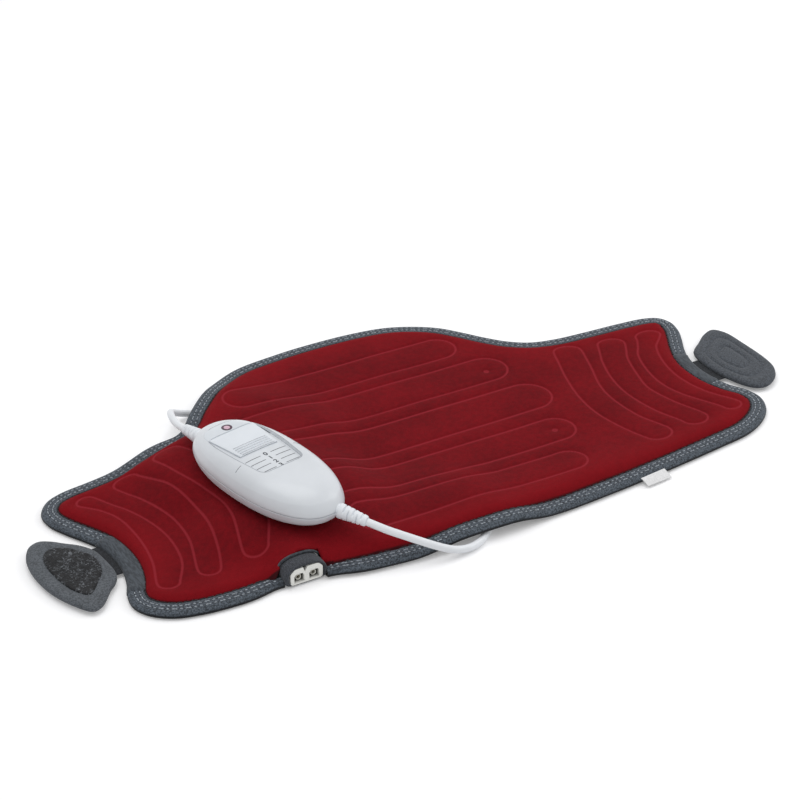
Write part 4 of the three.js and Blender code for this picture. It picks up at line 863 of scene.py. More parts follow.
# %% Sew the rows of stitches
def stitch_row(name, inset, height, pitch, size, material, skip=()):
    """A row of stitches along the binding, left out in the skipped shares of the edge and at the socket."""
    one = bmesh.new()
    bmesh.ops.create_uvsphere(one, u_segments=6, v_segments=4, radius=1)
    lozenge = bpy.data.meshes.new("lozenge")
    one.to_mesh(lozenge)
    bm = bmesh.new()
    count = round(rim_length / pitch)
    for k in range(count):
        share = k / count
        if any(low < share < high for low, high in skip):
            continue
        i = round(share * RIM_STEPS) % RIM_STEPS
        x, y, z = on_rim(i, inset, height)
        if abs(x - NOTCH_X) < NOTCH_HALF + 2 and y < NOTCH_BACK:
            continue
        turn = math.atan2(rim_along[i][1], rim_along[i][0])
        spot = Matrix.Translation(world(x, y, z)) @ Matrix.Rotation(turn, 4, "Z")
        spot = spot @ Matrix.Diagonal((*(s / 2 * MM for s in size), 1))
        lozenge.transform(spot)
        bm.from_mesh(lozenge)
        lozenge.transform(spot.inverted())
    bpy.data.meshes.remove(lozenge)
    finished(name, bm, material)


BANDS = {"left_elastic_band": (0.757, 0.803), "right_elastic_band": (0.219, 0.252)}
STITCH_PITCH, STITCH = 3.4, (2.3, 1.05, 0.9)
EDGE_PITCH, EDGE_STITCH, EDGE_INSET = 3.0, (3.1, 1.5, 1.5), 11.7
for name, inset, height in (("stitches_outer", SEAM_ROWS[0], 5.25), ("stitches_inner", SEAM_ROWS[1], 5.3)):
    stitch_row(name, inset, height, STITCH_PITCH, STITCH, thread, BANDS.values())
stitch_row("stitches_edge", EDGE_INSET, 4.95, EDGE_PITCH, EDGE_STITCH, dark_thread)
print("stitches sewn round", round(rim_length), "mm")

# %% [markdown]
# ## The elastic bands
# Where a tab is sewn on, a smooth elastic band is wrapped over the binding and covers its stitches. It is the
# binding's own path again, a little thicker, with a small roll before it dips under at each end.

# %% Wrap the bands over the binding
BAND_SECTION = [
    (12.3, 4.2), (12.4, 4.9), (11.6, 5.6), (9.5, 5.95), (6.6, 5.95), (3.6, 5.75), (1.9, 5.3), (0.6, 4.4),
    (-0.25, 3.2), (-0.3, 2.2), (0.6, 2.2), (2.0, 3.4), (4.0, 4.4), (8.0, 4.5),
]
BAND_UPPER, END_ROLL, END_DIP = 4.1, 0.35, 0.9


def elastic_band(name, first, last):
    start, stop = round(first * RIM_STEPS), round(last * RIM_STEPS)

    def place(u, v):
        inset, height = pick(BAND_SECTION, v)
        step = start + round(u * (stop - start))
        end = min(step - start, stop - step)
        rolled = END_ROLL * math.exp(-((end - 2) / 1.2) ** 2) - END_DIP * max(0, 1 - end / 1.5)
        return on_rim(step, inset, height + (rolled if height > BAND_UPPER else 0))
    finished(name, bent_grid(stop - start, len(BAND_SECTION), place, closed=True), band_cloth)


for name, arc in BANDS.items():
    elastic_band(name, *arc)
print("elastic bands", len(BANDS))

# %% [markdown]
# ## The tabs
# Two felt tabs lie beside the notches, on short straps, and fold over the pad's edge. The right one lies with
# its plain side up, and shows two rounded lines, pressed in where the hook cloth is welded on below. Each tab is
# a stack of rings that follow its outline inwards, so its rolled edge and its lines come from a few heights.

# %% Make the tabs
LEFT_TAB = [
    (-282, -3), (-290, -6), (-297, -18), (-300, -35), (-298, -60), (-290, -82), (-281, -94.5), (-274, -92.5),
    (-262, -79), (-255, -72), (-251.4, -64), (-251.4, -45), (-253.5, -31), (-259.5, -21), (-267.5, -13.5),
    (-275, -6.5),
]
LEFT_HOOKS = [
    (-280, -17), (-286, -22), (-289, -32), (-289, -46), (-287, -60), (-284, -70), (-277, -79), (-266, -68),
    (-258.5, -57), (-256.5, -47), (-258, -37), (-264, -27), (-270, -20),
]
RIGHT_TAB = [
    (270, -2), (258, -12), (254.9, -24), (254.7, -42), (257.4, -57), (266, -77), (275, -81), (288, -75),
    (297, -63), (300, -50), (300, -20), (298, 2), (292, 10), (282, 7),
]
RIGHT_HOOKS = [
    (270, -14), (264, -22), (262, -40), (266, -56), (274, -67), (284, -66), (290, -52), (291, -24), (288, -6),
    (280, -6),
]
MIDDLE = 99


def cushion(name, points, section, material, body, node, around=180):
    """A soft disc in the shape of a loop, from rings of (inset, height). The first and last are its middle."""
    loop, _ = evenly(closed_spline(points), around)
    middle = (loop.min(0) + loop.max(0)) / 2
    half = (loop.max(0) - loop.min(0)).min() / 2

    def place(u, v):
        inset, height = section[round(v * (len(section) - 1))]
        spot = loop[round(u * around) % around]
        x, y = middle + (spot - middle) * (1 - min(1, inset / half))
        return x, y, height
    return finished(name, bent_grid(around, len(section) - 1, place), material, body, node)


def rolled_edge(low, high, inner, middle):
    outer = [(2.2, low), (1.0, low + 0.25), (0.25, low + 0.9), (0.0, (low + high) / 2), (0.2, high - 0.9),
             (0.9, high - 0.3)]
    return [(MIDDLE, low)] + outer + inner + [(MIDDLE, middle)]


TAB_LOW = 1.7
left_section = rolled_edge(TAB_LOW, 5.6, [(2.2, 5.75), (4, 5.95), (6, 5.9), (8, 5.6), (10, 5.3)], 5.2)
right_section = rolled_edge(TAB_LOW, 5.5, [
    (2, 5.7), (4, 5.9), (6, 5.9), (6.8, 5.5), (7.4, 5.05), (8.0, 5.5), (9, 6.0), (11, 6.2), (13, 6.1), (13.9, 5.6),
    (14.5, 5.1), (15.1, 5.6), (16.5, 6.1), (19, 6.3)], 6.4)
cushion("left_tab_felt", LEFT_TAB, left_section, felt, "left_tab", "left_tab")
cushion("right_tab_felt", RIGHT_TAB, right_section, dark_felt, "right_tab", "right_tab")
STRAP_HEIGHT, STRAP_HALF_THICK, STRAP_SQUARE = 2.3, 0.42, 0.3


def power(value, exponent):
    """A power that keeps the sign. It squares or rounds the corners of an ellipse."""
    return math.copysign(abs(value) ** exponent, value)


def strap(name, inner, outer, y_low, y_high):
    """A short straight elastic strap from inside the binding to a tab, with a flattened round section."""
    middle, half = (y_low + y_high) / 2, (y_high - y_low) / 2

    def place(u, v):
        c, t = math.cos(2 * math.pi * v), math.sin(2 * math.pi * v)
        return inner + (outer - inner) * u, middle + half * power(c, STRAP_SQUARE), STRAP_HEIGHT + STRAP_HALF_THICK * t
    piece = finished(name, bent_grid(26, 24, place, closed=True), lining, None)
    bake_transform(piece)


strap("left_strap", -242.5, -256, -63, -26)
strap("right_strap", 244.5, 258, -54, -21)
print("tabs and straps made")

# %% [markdown]
# ## The hook cloth
# The left tab shows its side with the hook cloth, a coarse black pile inside the padded border. The right one
# has it underneath. The hooks are too small to model, so the cloth is a low cushion with a roughened face, and
# thin grey strands are drawn where a noise passes through its middle value.

# %% Make the hook cloth
def hook_finish():
    f = finish("hook_cloth", Specular_IOR_Level=0.3)
    curl = f.noise(230.0, detail=3.0, rough=0.7)
    bent, patch = f.noise(700.0, detail=3.0), f.noise(150.0)
    strand = (1 - (curl - 0.5).size() * 13).most(0.0)
    shade = f.mix(strand * bent.between(0.4, 0.62) * patch.between(0.35, 0.6), rgb(17, 18, 21), rgb(126, 130, 136))
    return f.set(Base_Color=shade, Roughness=bent * 0.3 + 0.5, Normal=f.bump(curl + strand * 0.4, 0.0012, 1.0))


hooks = hook_finish()
HOOK_RINGS = [(0.0, 0.0), (0.1, 0.55), (0.6, 0.95)] + [(k * 0.9, 1.15) for k in range(1, 18)]
HOOK_MIDDLE, HOOK_UPPER, HOOK_ROUGH = 1.2, 0.8, 0.35 * MM


def hook_pad(side, points, base, up):
    """The hook cloth of one tab, on its base height, facing up or down, with a rough face."""
    rings = [(inset, base + up * h) for inset, h in HOOK_RINGS]
    rings = [(MIDDLE, base)] + rings + [(MIDDLE, base + up * HOOK_MIDDLE)]
    pad = cushion(side + "_hook_cloth", points, rings, hooks, side + "_tab", side + "_hook_pad", around=150)
    for v in pad.data.vertices:
        rough = math.sin(v.co.x * 2900) * math.sin(v.co.y * 2600 + v.co.x * 900) * math.sin(v.co.y * 1700)
        if (v.co.z / MM - base) * up > HOOK_UPPER:
            v.co.z += up * rough * HOOK_ROUGH


hook_pad("left", LEFT_HOOKS, 5.3, 1)
hook_pad("right", RIGHT_HOOKS, 1.6, -1)
print("hook cloths made")

# %% [markdown]
# ## The socket's hood
# The pad's own socket is sewn into the front edge under an arched hood of ribbed cloth, with the plush running
# over the back of it. The hood is a tube with a rolled front edge, so its section is swept along a path that
# runs in, round the roll and back. A thin roll of jersey covers the seam where the plush is sewn to it.

# %% Make the hood and its piping
HOOD_HALF, HOOD_TOP, HOOD_SPRING, HOOD_FOOT, HOOD_STEPS = 15.6, 15.9, 5.5, 0.25, 72
HOOD_ROOM_HALF, HOOD_ROOM_MIDDLE, HOOD_ROOM_RISE = 12.6, 7.4, 6.5
HOOD_PATH = [(-108.5, None), (-118, None), (-129.4, None), (-130.3, None), (-130.9, -1.6), (-131.0, -1.0),
             (-130.6, -0.3), (-129.8, 0.0), (-127, 0.15), (-122, 0.0), (-117, -0.5), (-110, -1.4), (-108.5, -2.0)]
RIB_PITCH = 0.0011


def hood_loop(k, grow):
    """A point of the hood's section: flat below, upright at the sides and arched on top."""
    turn = 2 * math.pi * k / HOOD_STEPS
    c, t = math.cos(turn), math.sin(turn)
    x = (HOOD_HALF + grow) * power(c, 0.8 if t > 0 else 0.5)
    if t >= 0:
        return NOTCH_X + x, HOOD_SPRING + (HOOD_TOP + grow - HOOD_SPRING) * t ** 0.85
    return NOTCH_X + x, HOOD_SPRING - (HOOD_SPRING - HOOD_FOOT + min(grow, 0)) * abs(t) ** 0.45


def hood_room_loop(k):
    turn = 2 * math.pi * k / HOOD_STEPS
    c, t = math.cos(turn), math.sin(turn)
    return NOTCH_X + HOOD_ROOM_HALF * power(c, 0.3), HOOD_ROOM_MIDDLE + HOOD_ROOM_RISE * power(t, 0.45)


def hood_place(u, v):
    k, (y, grow) = round(u * HOOD_STEPS) % HOOD_STEPS, pick(HOOD_PATH, v)
    x, z = hood_room_loop(k) if grow is None else hood_loop(k, grow)
    return x, y, z


def hood_piping(u, v):
    x, z = hood_loop(HOOD_STEPS / 2 * u, 0.9 + 0.85 * math.cos(2 * math.pi * v))
    return x, HOOD_BACK - 0.5 + 0.95 * math.sin(2 * math.pi * v), z


def ribbed_cloth():
    f, shade, weave = jersey_finish("hood_cloth", (66, 69, 75), dark=0.8, light=1.2, roughness=0.9)
    ribs = (f.node("ShaderNodeSeparateXYZ", None, [f.place()]) * (2 * math.pi / RIB_PITCH)).sine()
    shade = f.mix(ribs * 0.12 + 0.15, shade, rgb(38, 40, 44))
    return f.set(Base_Color=shade, Normal=f.bump(ribs, 0.00012, 0.7, under=weave))


hood_mesh = bent_grid(HOOD_STEPS, len(HOOD_PATH), hood_place)
finished("socket_hood", hood_mesh, ribbed_cloth(), node="socket_sleeve")
finished("hood_piping", bent_grid(HOOD_STEPS // 2, 10, hood_piping, closed=True), band_cloth)
print("hood and piping made")

# %% [markdown]
# ## The socket's face
# The moulded housing has chamfered upper corners, a notch on top as a key, and two rooms with a contact in each.
# A flat curve with holes can be filled and extruded in one go, so the face is drawn as one, and a plain back
# block closes the rooms behind it.

# %% Draw, extrude and place the housing
FACE = [(-10.4, 1.2), (10.4, 1.2), (11.4, 1.6), (12.0, 2.8), (12.0, 9.6), (11.5, 10.6), (9.2, 12.9), (8.3, 13.3),
        (1.2, 13.3), (0.4, 13.0), (-1.1, 9.9), (-1.5, 10.0), (-2.4, 13.0), (-3.2, 13.3), (-8.3, 13.3), (-9.2, 12.9),
        (-11.5, 10.6), (-12.0, 9.6), (-12.0, 2.8), (-11.4, 1.6)]
ROOM = [(-3.7, -3.1), (3.7, -3.1), (3.7, 1.6), (2.4, 3.3), (-2.4, 3.3), (-3.7, 1.6)]
ROOM_AT, FACE_FRONT, FACE_DEPTH, HOUSING_BACK = ((-5.6, 5.8), (5.6, 5.8)), -131.05, 12, -109.2
# Where the painted shade inside the socket's rooms begins and where it is full, along y in metres.
ROOM_SHADE_START, ROOM_SHADE_FULL = -0.1306, -0.1270


def drawn_mesh(curve):
    """The surface of a curve or a text, with its faces joined."""
    drawn = bpy.data.objects.new("drawn", curve)
    scene.collection.objects.link(drawn)
    skin = bpy.data.meshes.new_from_object(drawn)
    bpy.data.objects.remove(drawn)
    bm = bmesh.new()
    bm.from_mesh(skin)
    bpy.data.meshes.remove(skin)
    bmesh.ops.remove_doubles(bm, verts=bm.verts, dist=1e-5)
    return bm


def extruded(outlines, front, depth, bevel=0.3):
    """A flat curve of closed outlines, filled, extruded and stood up to face the front."""
    curve = bpy.data.curves.new("outline", "CURVE")
    curve.dimensions, curve.fill_mode = "2D", "BOTH"
    curve.extrude, curve.bevel_depth, curve.bevel_resolution, curve.offset = depth / 2 - bevel, bevel, 2, -bevel
    for outline_points in outlines:
        spline = curve.splines.new("POLY")
        spline.points.add(len(outline_points) - 1)
        spline.use_cyclic_u = True
        for slot, (x, y) in zip(spline.points, outline_points):
            slot.co = (x, y, 0, 1)
    bm = drawn_mesh(curve)
    for v in bm.verts:
        v.co = world(NOTCH_X + v.co.x, front + depth / 2 - v.co.z, v.co.y)
    return bm


def housing_finish():
    f = finish("socket_white", Specular_IOR_Level=0.4)
    # Painted shade: the rooms behind the face are painted dark, where little light reaches.
    room_shade = f.node("ShaderNodeSeparateXYZ", None, [f.place()], out=1).between(ROOM_SHADE_START, ROOM_SHADE_FULL)
    fine = f.noise(800.0)
    shade = f.mix(room_shade, f.mix(fine, rgb(228, 228, 223), rgb(238, 238, 234)), rgb(84, 83, 78))
    return f.set(Base_Color=shade, Roughness=fine * 0.15 + 0.4, Normal=f.bump(fine, 0.00004))


rooms = [[(x + a, z + b) for a, b in ROOM] for x, z in ROOM_AT]
face_part = extruded([FACE] + rooms, FACE_FRONT, FACE_DEPTH)
back_part = extruded([FACE[:8] + FACE[14:]], FACE_FRONT + FACE_DEPTH, HOUSING_BACK - FACE_FRONT - FACE_DEPTH)
housing = joined("socket_face", [face_part, back_part], housing_finish(), node="socket_housing")
CONTACT_SECTION = [(2.1, -129.4), (2.1, -128.6), (2.1, -119.6), (1.45, -119.6), (1.45, -128.9), (1.7, -129.5)]
for name, (x, z) in zip(("left_contact_rim", "right_contact_rim"), ROOM_AT):
    def tube_place(u, v):
        radius, y = pick(CONTACT_SECTION, v)
        return (NOTCH_X + x + radius * math.cos(2 * math.pi * u), y, z + 0.1 + radius * math.sin(2 * math.pi * u))
    finished(name, bent_grid(28, len(CONTACT_SECTION), tube_place), tinned)
print("socket face", len(housing.data.polygons), "faces")

# %% [markdown]
# ## The tag
# Further along the front edge a white tag of satin is sewn into the binding. It is one strip folded double, and
# it carries no print here. Its two plies hang from the binding, meet in the fold and wave a little.

# %% Fold the tag
TAG_ENDS, TAG_WIDTH, TAG_SEWN, TAG_DROP, TAG_HALF_GAP = (118.5, 139.5), 0.0215, 0.9, 8.6, 0.22
tag_from, tag_to = [int(np.argmin(np.abs(rim[:RIM_STEPS // 4, 0] - x))) for x in TAG_ENDS]


def tag_place(u, v):
    side = 1 - abs(2 * v - 1)
    inset = TAG_SEWN - TAG_DROP * side
    i = tag_from + u * (tag_to - tag_from)
    low, share = int(i), i - int(i)
    a, b = on_rim(low, inset, 0), on_rim(low + 1, inset, 0)
    x, y = (a[0] + (b[0] - a[0]) * share, a[1] + (b[1] - a[1]) * share)
    ply = TAG_HALF_GAP if v < 0.5 else -TAG_HALF_GAP
    fold = math.cos(math.pi * side / 2) ** 0.25 if side < 1 else 0
    return x, y, 4.0 - 2.9 * side ** 1.3 + 0.35 * math.sin(3 * u + 1) * side + ply * fold


tag = finished("folded_tag", bent_grid(24, 25, tag_place), satin, node="label_tag")

# %% [markdown]
# ## The form of the controller
# The controller is a smooth pebble of white plastic. Its outline is a superellipse, which is squarer than an
# ellipse, and its section is one spline from the base over the widest line to the top. The shallow recess for
# the switch has an outline of its own. These helpers answer where a place of the outline, the dome or the
# recess is, so that everything on the case can follow its curve.

# %% The form of the case
CASE_X, CASE_Y, CASE_BASE, CASE_TURN = -127.9, -44.1, 23.128, math.radians(10.8)
CASE_HALF_WIDTH, CASE_HALF_LENGTH, CASE_HEIGHT, CASE_SQUARE, SEAM = 32.7, 69.7, 26.4, 2.3, 11
CASE_RINGS, SECTION_SPAN, SEAM_HALF = 192, 60, 0.25
CASE_SECTION = [
    (0.78, 0), (0.86, 0.045), (0.955, 0.17), (0.995, 0.34), (1, 0.43), (0.99, 0.53), (0.955, 0.68), (0.925, 0.76),
    (0.85, 0.87), (0.75, 0.95), (0.66, 0.985), (0.54, 1), (0.3, 1.012), (0, 1.016),
]
section_points = [(scale * SECTION_SPAN, share * CASE_HEIGHT, 0) for scale, share in CASE_SECTION]
section_line = spline_through(section_points, 0.35)
section_scale = np.array([q.x / SECTION_SPAN for q in section_line])
section_height = np.array([q.y for q in section_line])
widest = int(np.argmax(section_scale))


def on_case(x, y, z):
    c, t = math.cos(CASE_TURN), math.sin(CASE_TURN)
    return CASE_X + x * c - y * t, CASE_Y + x * t + y * c, CASE_BASE + z


def case_ring(k, scale, inset=0.0):
    """A point of the case's outline, scaled and moved in by an inset."""
    turn = 2 * math.pi * (k % CASE_RINGS) / CASE_RINGS
    x = power(math.cos(turn), 2 / CASE_SQUARE) * (CASE_HALF_WIDTH * scale - inset)
    y = power(math.sin(turn), 2 / CASE_SQUARE) * (CASE_HALF_LENGTH * scale - inset)
    return x, y


def dome(x, y):
    """The height of the upper shell over a place of its plan, without the recess."""
    out = (abs(x / CASE_HALF_WIDTH) ** CASE_SQUARE + abs(y / CASE_HALF_LENGTH) ** CASE_SQUARE) ** (1 / CASE_SQUARE)
    return float(np.interp(out, section_scale[widest:][::-1], section_height[widest:][::-1]))


RECESS_MIDDLE, TRACK_HEIGHT, TRACK_FALL, TRACK_HALF = 17, 25.15, 0.75, 18.7
RECESS_CORNERS = [(17.6, -19.4, 6), (21, 12, 12), (20.8, 36, 10), (14.5, 53.2, 9)]


def track(x, y=0):
    """The recess's floor, level along the slide and falling a little to both sides."""
    return TRACK_HEIGHT - TRACK_FALL * (x / TRACK_HALF) ** 4


def recess_line():
    """The recess's outline, with each corner rounded by a curve between its two sides."""
    both_sides = RECESS_CORNERS + [(-x, y, r) for x, y, r in RECESS_CORNERS[::-1]]
    corners = [Vector((x, y)) for x, y, _ in both_sides]
    points = []
    for i, (corner, (_, _, r)) in enumerate(zip(corners, both_sides)):
        before, after = corners[i - 1] - corner, corners[(i + 1) % len(corners)] - corner
        start, stop = corner + before.normalized() * r, corner + after.normalized() * r
        for t in np.linspace(0, 1, 9):
            points.append(start.lerp(corner, t).lerp(corner.lerp(stop, t), t))
    return np.array([tuple(q) for q in points])


recess = evenly(recess_line(), 600)[0]
recess_angle = np.arctan2(recess[:, 1] - RECESS_MIDDLE, recess[:, 0])
recess_reach = np.hypot(recess[:, 0], recess[:, 1] - RECESS_MIDDLE)
order = np.argsort(recess_angle)
recess_angle, recess_reach = recess_angle[order], recess_reach[order]


def recess_point(x, y, inset):
    """The point of the recess's outline in the direction of a place, moved in by an inset."""
    turn = math.atan2(y - RECESS_MIDDLE, x)
    reach = float(np.interp(turn, recess_angle, recess_reach, period=2 * math.pi)) - inset
    return reach * math.cos(turn), RECESS_MIDDLE + reach * math.sin(turn)


print("recess", round(float(np.ptp(recess[:, 0])), 1), "by", round(float(np.ptp(recess[:, 1])), 1), "mm")

# %% [markdown]
# ## The two shells
# The case is moulded in two halves with a fine groove between them. Each half is a stack of rings. On top the
# rings change over from the case's outline to that of the recess, so that the recess's edge is crisp all round.

# %% Build the two shells
OUTER_SCALE, RECESS_LIP, RECESS_FOOT = 0.93, -0.45, 0.3
top_levels = [i for i in range(len(section_scale))
              if section_height[i] > SEAM + 0.2 and (i < widest or section_scale[i] > OUTER_SCALE)]
TOP_RINGS = [("ring", scale, height) for scale, height in (
    (0, 22.2), (0.5, 22.2), (0.84, 19.5), (0.925, 15), (0.94, SEAM + SEAM_HALF), (0.985, SEAM + SEAM_HALF))]
TOP_RINGS += [("ring", section_scale[i], section_height[i]) for i in top_levels]
TOP_RINGS += [("across", share) for share in (0.12, 0.26, 0.4, 0.54, 0.67, 0.79, 0.88, 0.95, 0.985)]
TOP_RINGS += [("recess", inset, 1, fall) for inset, fall in (
    (RECESS_LIP, 0.0), (-0.2, 0.06), (-0.04, 0.25), (0.1, 0.75), (RECESS_FOOT, 0.97))]
TOP_RINGS += [("recess", RECESS_FOOT, share, 1) for share in (0.96, 0.85, 0.65, 0.4, 0.2, 0)]
bottom_levels = [i for i in range(widest) if section_height[i] < SEAM - 0.2]
BOTTOM_RINGS = [(0, 0), (0.4, 0), (0.7, 0)] + [(section_scale[i], section_height[i]) for i in bottom_levels]
BOTTOM_RINGS += [(0.985, SEAM - SEAM_HALF), (0.94, SEAM - SEAM_HALF), (0.92, 6), (0.8, 2.4), (0.4, 2.2), (0, 2.2)]
JOINT_SECTION = [(1.0, SEAM - 0.6), (1.0, SEAM + 0.6), (1.6, SEAM + 0.6), (1.6, SEAM - 0.6)]


def top_shell(u, v):
    """From the inner face over the seam, up the side, across to the recess, down its wall and over its floor."""
    k, (kind, *values) = round(u * CASE_RINGS), TOP_RINGS[round(v * (len(TOP_RINGS) - 1))]
    if kind == "ring":
        return on_case(*case_ring(k, values[0]), values[1])
    out_x, out_y = case_ring(k, OUTER_SCALE)
    if kind == "across":
        in_x, in_y = recess_point(out_x, out_y, RECESS_LIP)
        x, y = out_x + (in_x - out_x) * values[0], out_y + (in_y - out_y) * values[0]
        return on_case(x, y, dome(x, y))
    inset, share, fall = values
    x, y = recess_point(out_x, out_y, inset)
    x, y = x * share, RECESS_MIDDLE + (y - RECESS_MIDDLE) * share
    high = dome(x, y)
    return on_case(x, y, high + (min(track(x), high) - high) * fall)


def bottom_shell(u, v):
    scale, height = BOTTOM_RINGS[round(v * (len(BOTTOM_RINGS) - 1))]
    return on_case(*case_ring(round(u * CASE_RINGS), scale), height)


def joint_band(u, v):
    """A band inside the groove between the shells, so that no light shows through it."""
    inset, height = pick(JOINT_SECTION, v)
    return on_case(*case_ring(round(u * CASE_RINGS), 1.0, inset), height)


for name, rings, shape, node in (("controller_top", TOP_RINGS, top_shell, "case_top"),
                                 ("controller_bottom", BOTTOM_RINGS, bottom_shell, "case_bottom")):
    shell = finished(name, bent_grid(CASE_RINGS, len(rings) - 1, shape), shell_white, node=node)
    print(name, len(shell.data.polygons), "faces")
finished("case_joint", bent_grid(CASE_RINGS, len(JOINT_SECTION), joint_band), panel_white)

# %% [markdown]
# ## Plates that follow the recess
# The slider and the window are thin plates that follow the curve of the recess. A bevelled box wouldn't bend, so
# each is a grid between two heights that are given as functions, and small steps round the rim of its face.

# %% A plate with rounded edges
def plate(name, half_at, low_y, high_y, low, top, counts, material, body, node):
    """A plate over y from low_y to high_y, half_at(y) wide to each side, between two heights of (x, y)."""
    rims = [(0.0, None), (0.0, 0.4), (0.1, 0.14), (0.35, 0.0)]
    nx, ny = counts

    def along(i, n, span):
        if i < len(rims):
            return rims[i][0], rims[i][1], -1
        if i > n - len(rims):
            return rims[n - i][0], rims[n - i][1], 1
        inner = span - 2 * rims[-1][0]
        return rims[-1][0] + inner * (i - len(rims) + 1) / (n - 2 * len(rims) + 2), 0.0, 0

    def place(u, v, below=False):
        (dy, drop_y, end_y), i = along(round(v * ny), ny, high_y - low_y), round(u * nx)
        y = high_y - dy if end_y > 0 else low_y + dy
        half = half_at(y)
        dx, drop_x, end_x = along(i, nx, 2 * half)
        x = half - dx if end_x > 0 else -half + dx
        if below or drop_x is None or drop_y is None:
            return on_case(x, y, low(x, y))
        return on_case(x, y, top(x, y) - max(drop_x, drop_y))
    bm = merged([bent_grid(nx, ny, place), bent_grid(nx, ny, lambda u, v: place(u, v, True))])
    bmesh.ops.remove_doubles(bm, verts=bm.verts, dist=1e-7)
    finished(name, bm, material, body, node)

# %% [markdown]
# ## The slider and the window
# The slider has a smooth end with a shallow dish for the finger and four grip ribs, and it moves along the
# recess. The window closes the recess at the pad lead's end, and is narrower there.

# %% Make the slider and the window
SLIDER_FRONT, SLIDER_BACK, SLIDER_HALF_FRONT, SLIDER_HALF_BACK = 8.7, 39.7, 16, 19.2
SLIDER_RIBS, RIB_HALF, RIB_HEIGHT, RIB_END = (10.3, 12.9, 15.5, 18.1), 0.62, 0.75, 14.2
SLIDER_GAP, PLATE_THICK, DISH_Y, DISH_DEPTH = 0.12, 0.95, 31, 0.25
WINDOW_FRONT, WINDOW_BACK, WINDOW_HALF, WINDOW_NARROWING = 40.3, 52.9, 19.3, 5.2


def slider_half(y):
    share = (y - SLIDER_FRONT) / (SLIDER_BACK - SLIDER_FRONT)
    return SLIDER_HALF_FRONT + (SLIDER_HALF_BACK - SLIDER_HALF_FRONT) * share


def slider_under(x, y):
    return track(x) + SLIDER_GAP


def slider_top(x, y):
    ribs = sum(math.exp(-((y - at) / RIB_HALF) ** 4) for at in SLIDER_RIBS)
    inside = 1 / (1 + math.exp((abs(x) - RIB_END) * 4))
    dish = DISH_DEPTH * math.exp(-((y - DISH_Y) / 6) ** 2 - (x / 12) ** 2)
    return slider_under(x, y) + PLATE_THICK + RIB_HEIGHT * ribs * inside - dish


def window_half(y):
    share = max(0, (y - WINDOW_FRONT) / (WINDOW_BACK - WINDOW_FRONT))
    return WINDOW_HALF - WINDOW_NARROWING * share ** 2.4


def window_under(x, y):
    return min(track(x) + 0.1, dome(x, y) - 0.7)


def window_top(x, y):
    return min(track(x) + 1.0, dome(x, y) + 0.3)


plate("slide_switch", slider_half, SLIDER_FRONT, SLIDER_BACK, slider_under, slider_top, (40, 150), panel_white,
      "slider", "switch_slider")
plate("window_pane", window_half, WINDOW_FRONT, WINDOW_BACK, window_under, window_top, (48, 24), window_grey,
      "pad", "status_window")
print("slider and window made")

# %% [markdown]
# ## The printed scale
# The scale's four lines and its numbers 0 to 3 are printed on the recess's floor. An image could carry them, but
# here they are skins a few hundredths of a millimetre thick, bent over the case, so that they stay crisp.

# %% Print the scale
SKIN_LIFT = 0.02


def ribbon(points, width, thick, rise):
    """A flat closed strip along points of the case, a little above the surface that rise(x, y) gives."""
    line = [Vector(q) for q in points]

    def place(u, v):
        i = round(u * (len(line) - 1))
        along = (line[min(i + 1, len(line) - 1)] - line[max(i - 1, 0)]).normalized()
        corner = round(v * 4) % 4
        spot = line[i] + Vector((-along.y, along.x)) * (width / 2 if corner in (0, 3) else -width / 2)
        lift = SKIN_LIFT if corner in (0, 1) else SKIN_LIFT + thick
        return on_case(spot.x, spot.y, rise(line[i].x, line[i].y) + lift)
    bm = bent_grid(len(line) - 1, 4, place, closed=True)
    bmesh.ops.recalc_face_normals(bm, faces=bm.faces)
    return bm


def number_skin(text, y):
    curve = bpy.data.curves.new("number", "FONT")
    curve.body, curve.size, curve.align_x, curve.align_y = text, NUMBER_SIZE, "CENTER", "CENTER"
    curve.extrude, curve.offset = 0.03, 0.14
    bm = drawn_mesh(curve)
    for v in bm.verts:
        v.co = world(*on_case(v.co.x, y + v.co.y, track(v.co.x) + 0.06 + v.co.z))
    return bm


SCALE_LINES, LINE_FROM, LINE_TO, LINE_SHORTER, NUMBER_SIZE = (1.3, -4.6, -10.5, -16.4), 4.3, 17.4, 0.5, 5.6
marks = []
for number, y in enumerate(SCALE_LINES):
    line_x = np.linspace(LINE_FROM, LINE_TO - LINE_SHORTER * number, 16)
    marks += [ribbon([(side * x, y) for x in line_x], 0.5, 0.05, track) for side in (-1, 1)]
    marks.append(number_skin(str(number), y))
for side in (-1, 1):
    beside = [(side * x, -0.8 - 0.15 * (x - 23)) for x in np.linspace(22.5, 28, 16)]
    marks.append(ribbon(beside, 0.3, 0.05, dome))
joined("scale_print", marks, ink_and_shadow)
print("scale printed,", len(marks), "marks")

# %% [markdown]
# ## The thin gaps of the panel
# A thin line of painted shade shows where the recess meets its wall and a paler one on its rim, grooves of painted
# shade run between the slider's ribs, and a painted shadow lies in the slot beside the slider. Real gaps this narrow
# would be lost between the facets, so each is drawn as a ribbon of painted shade.

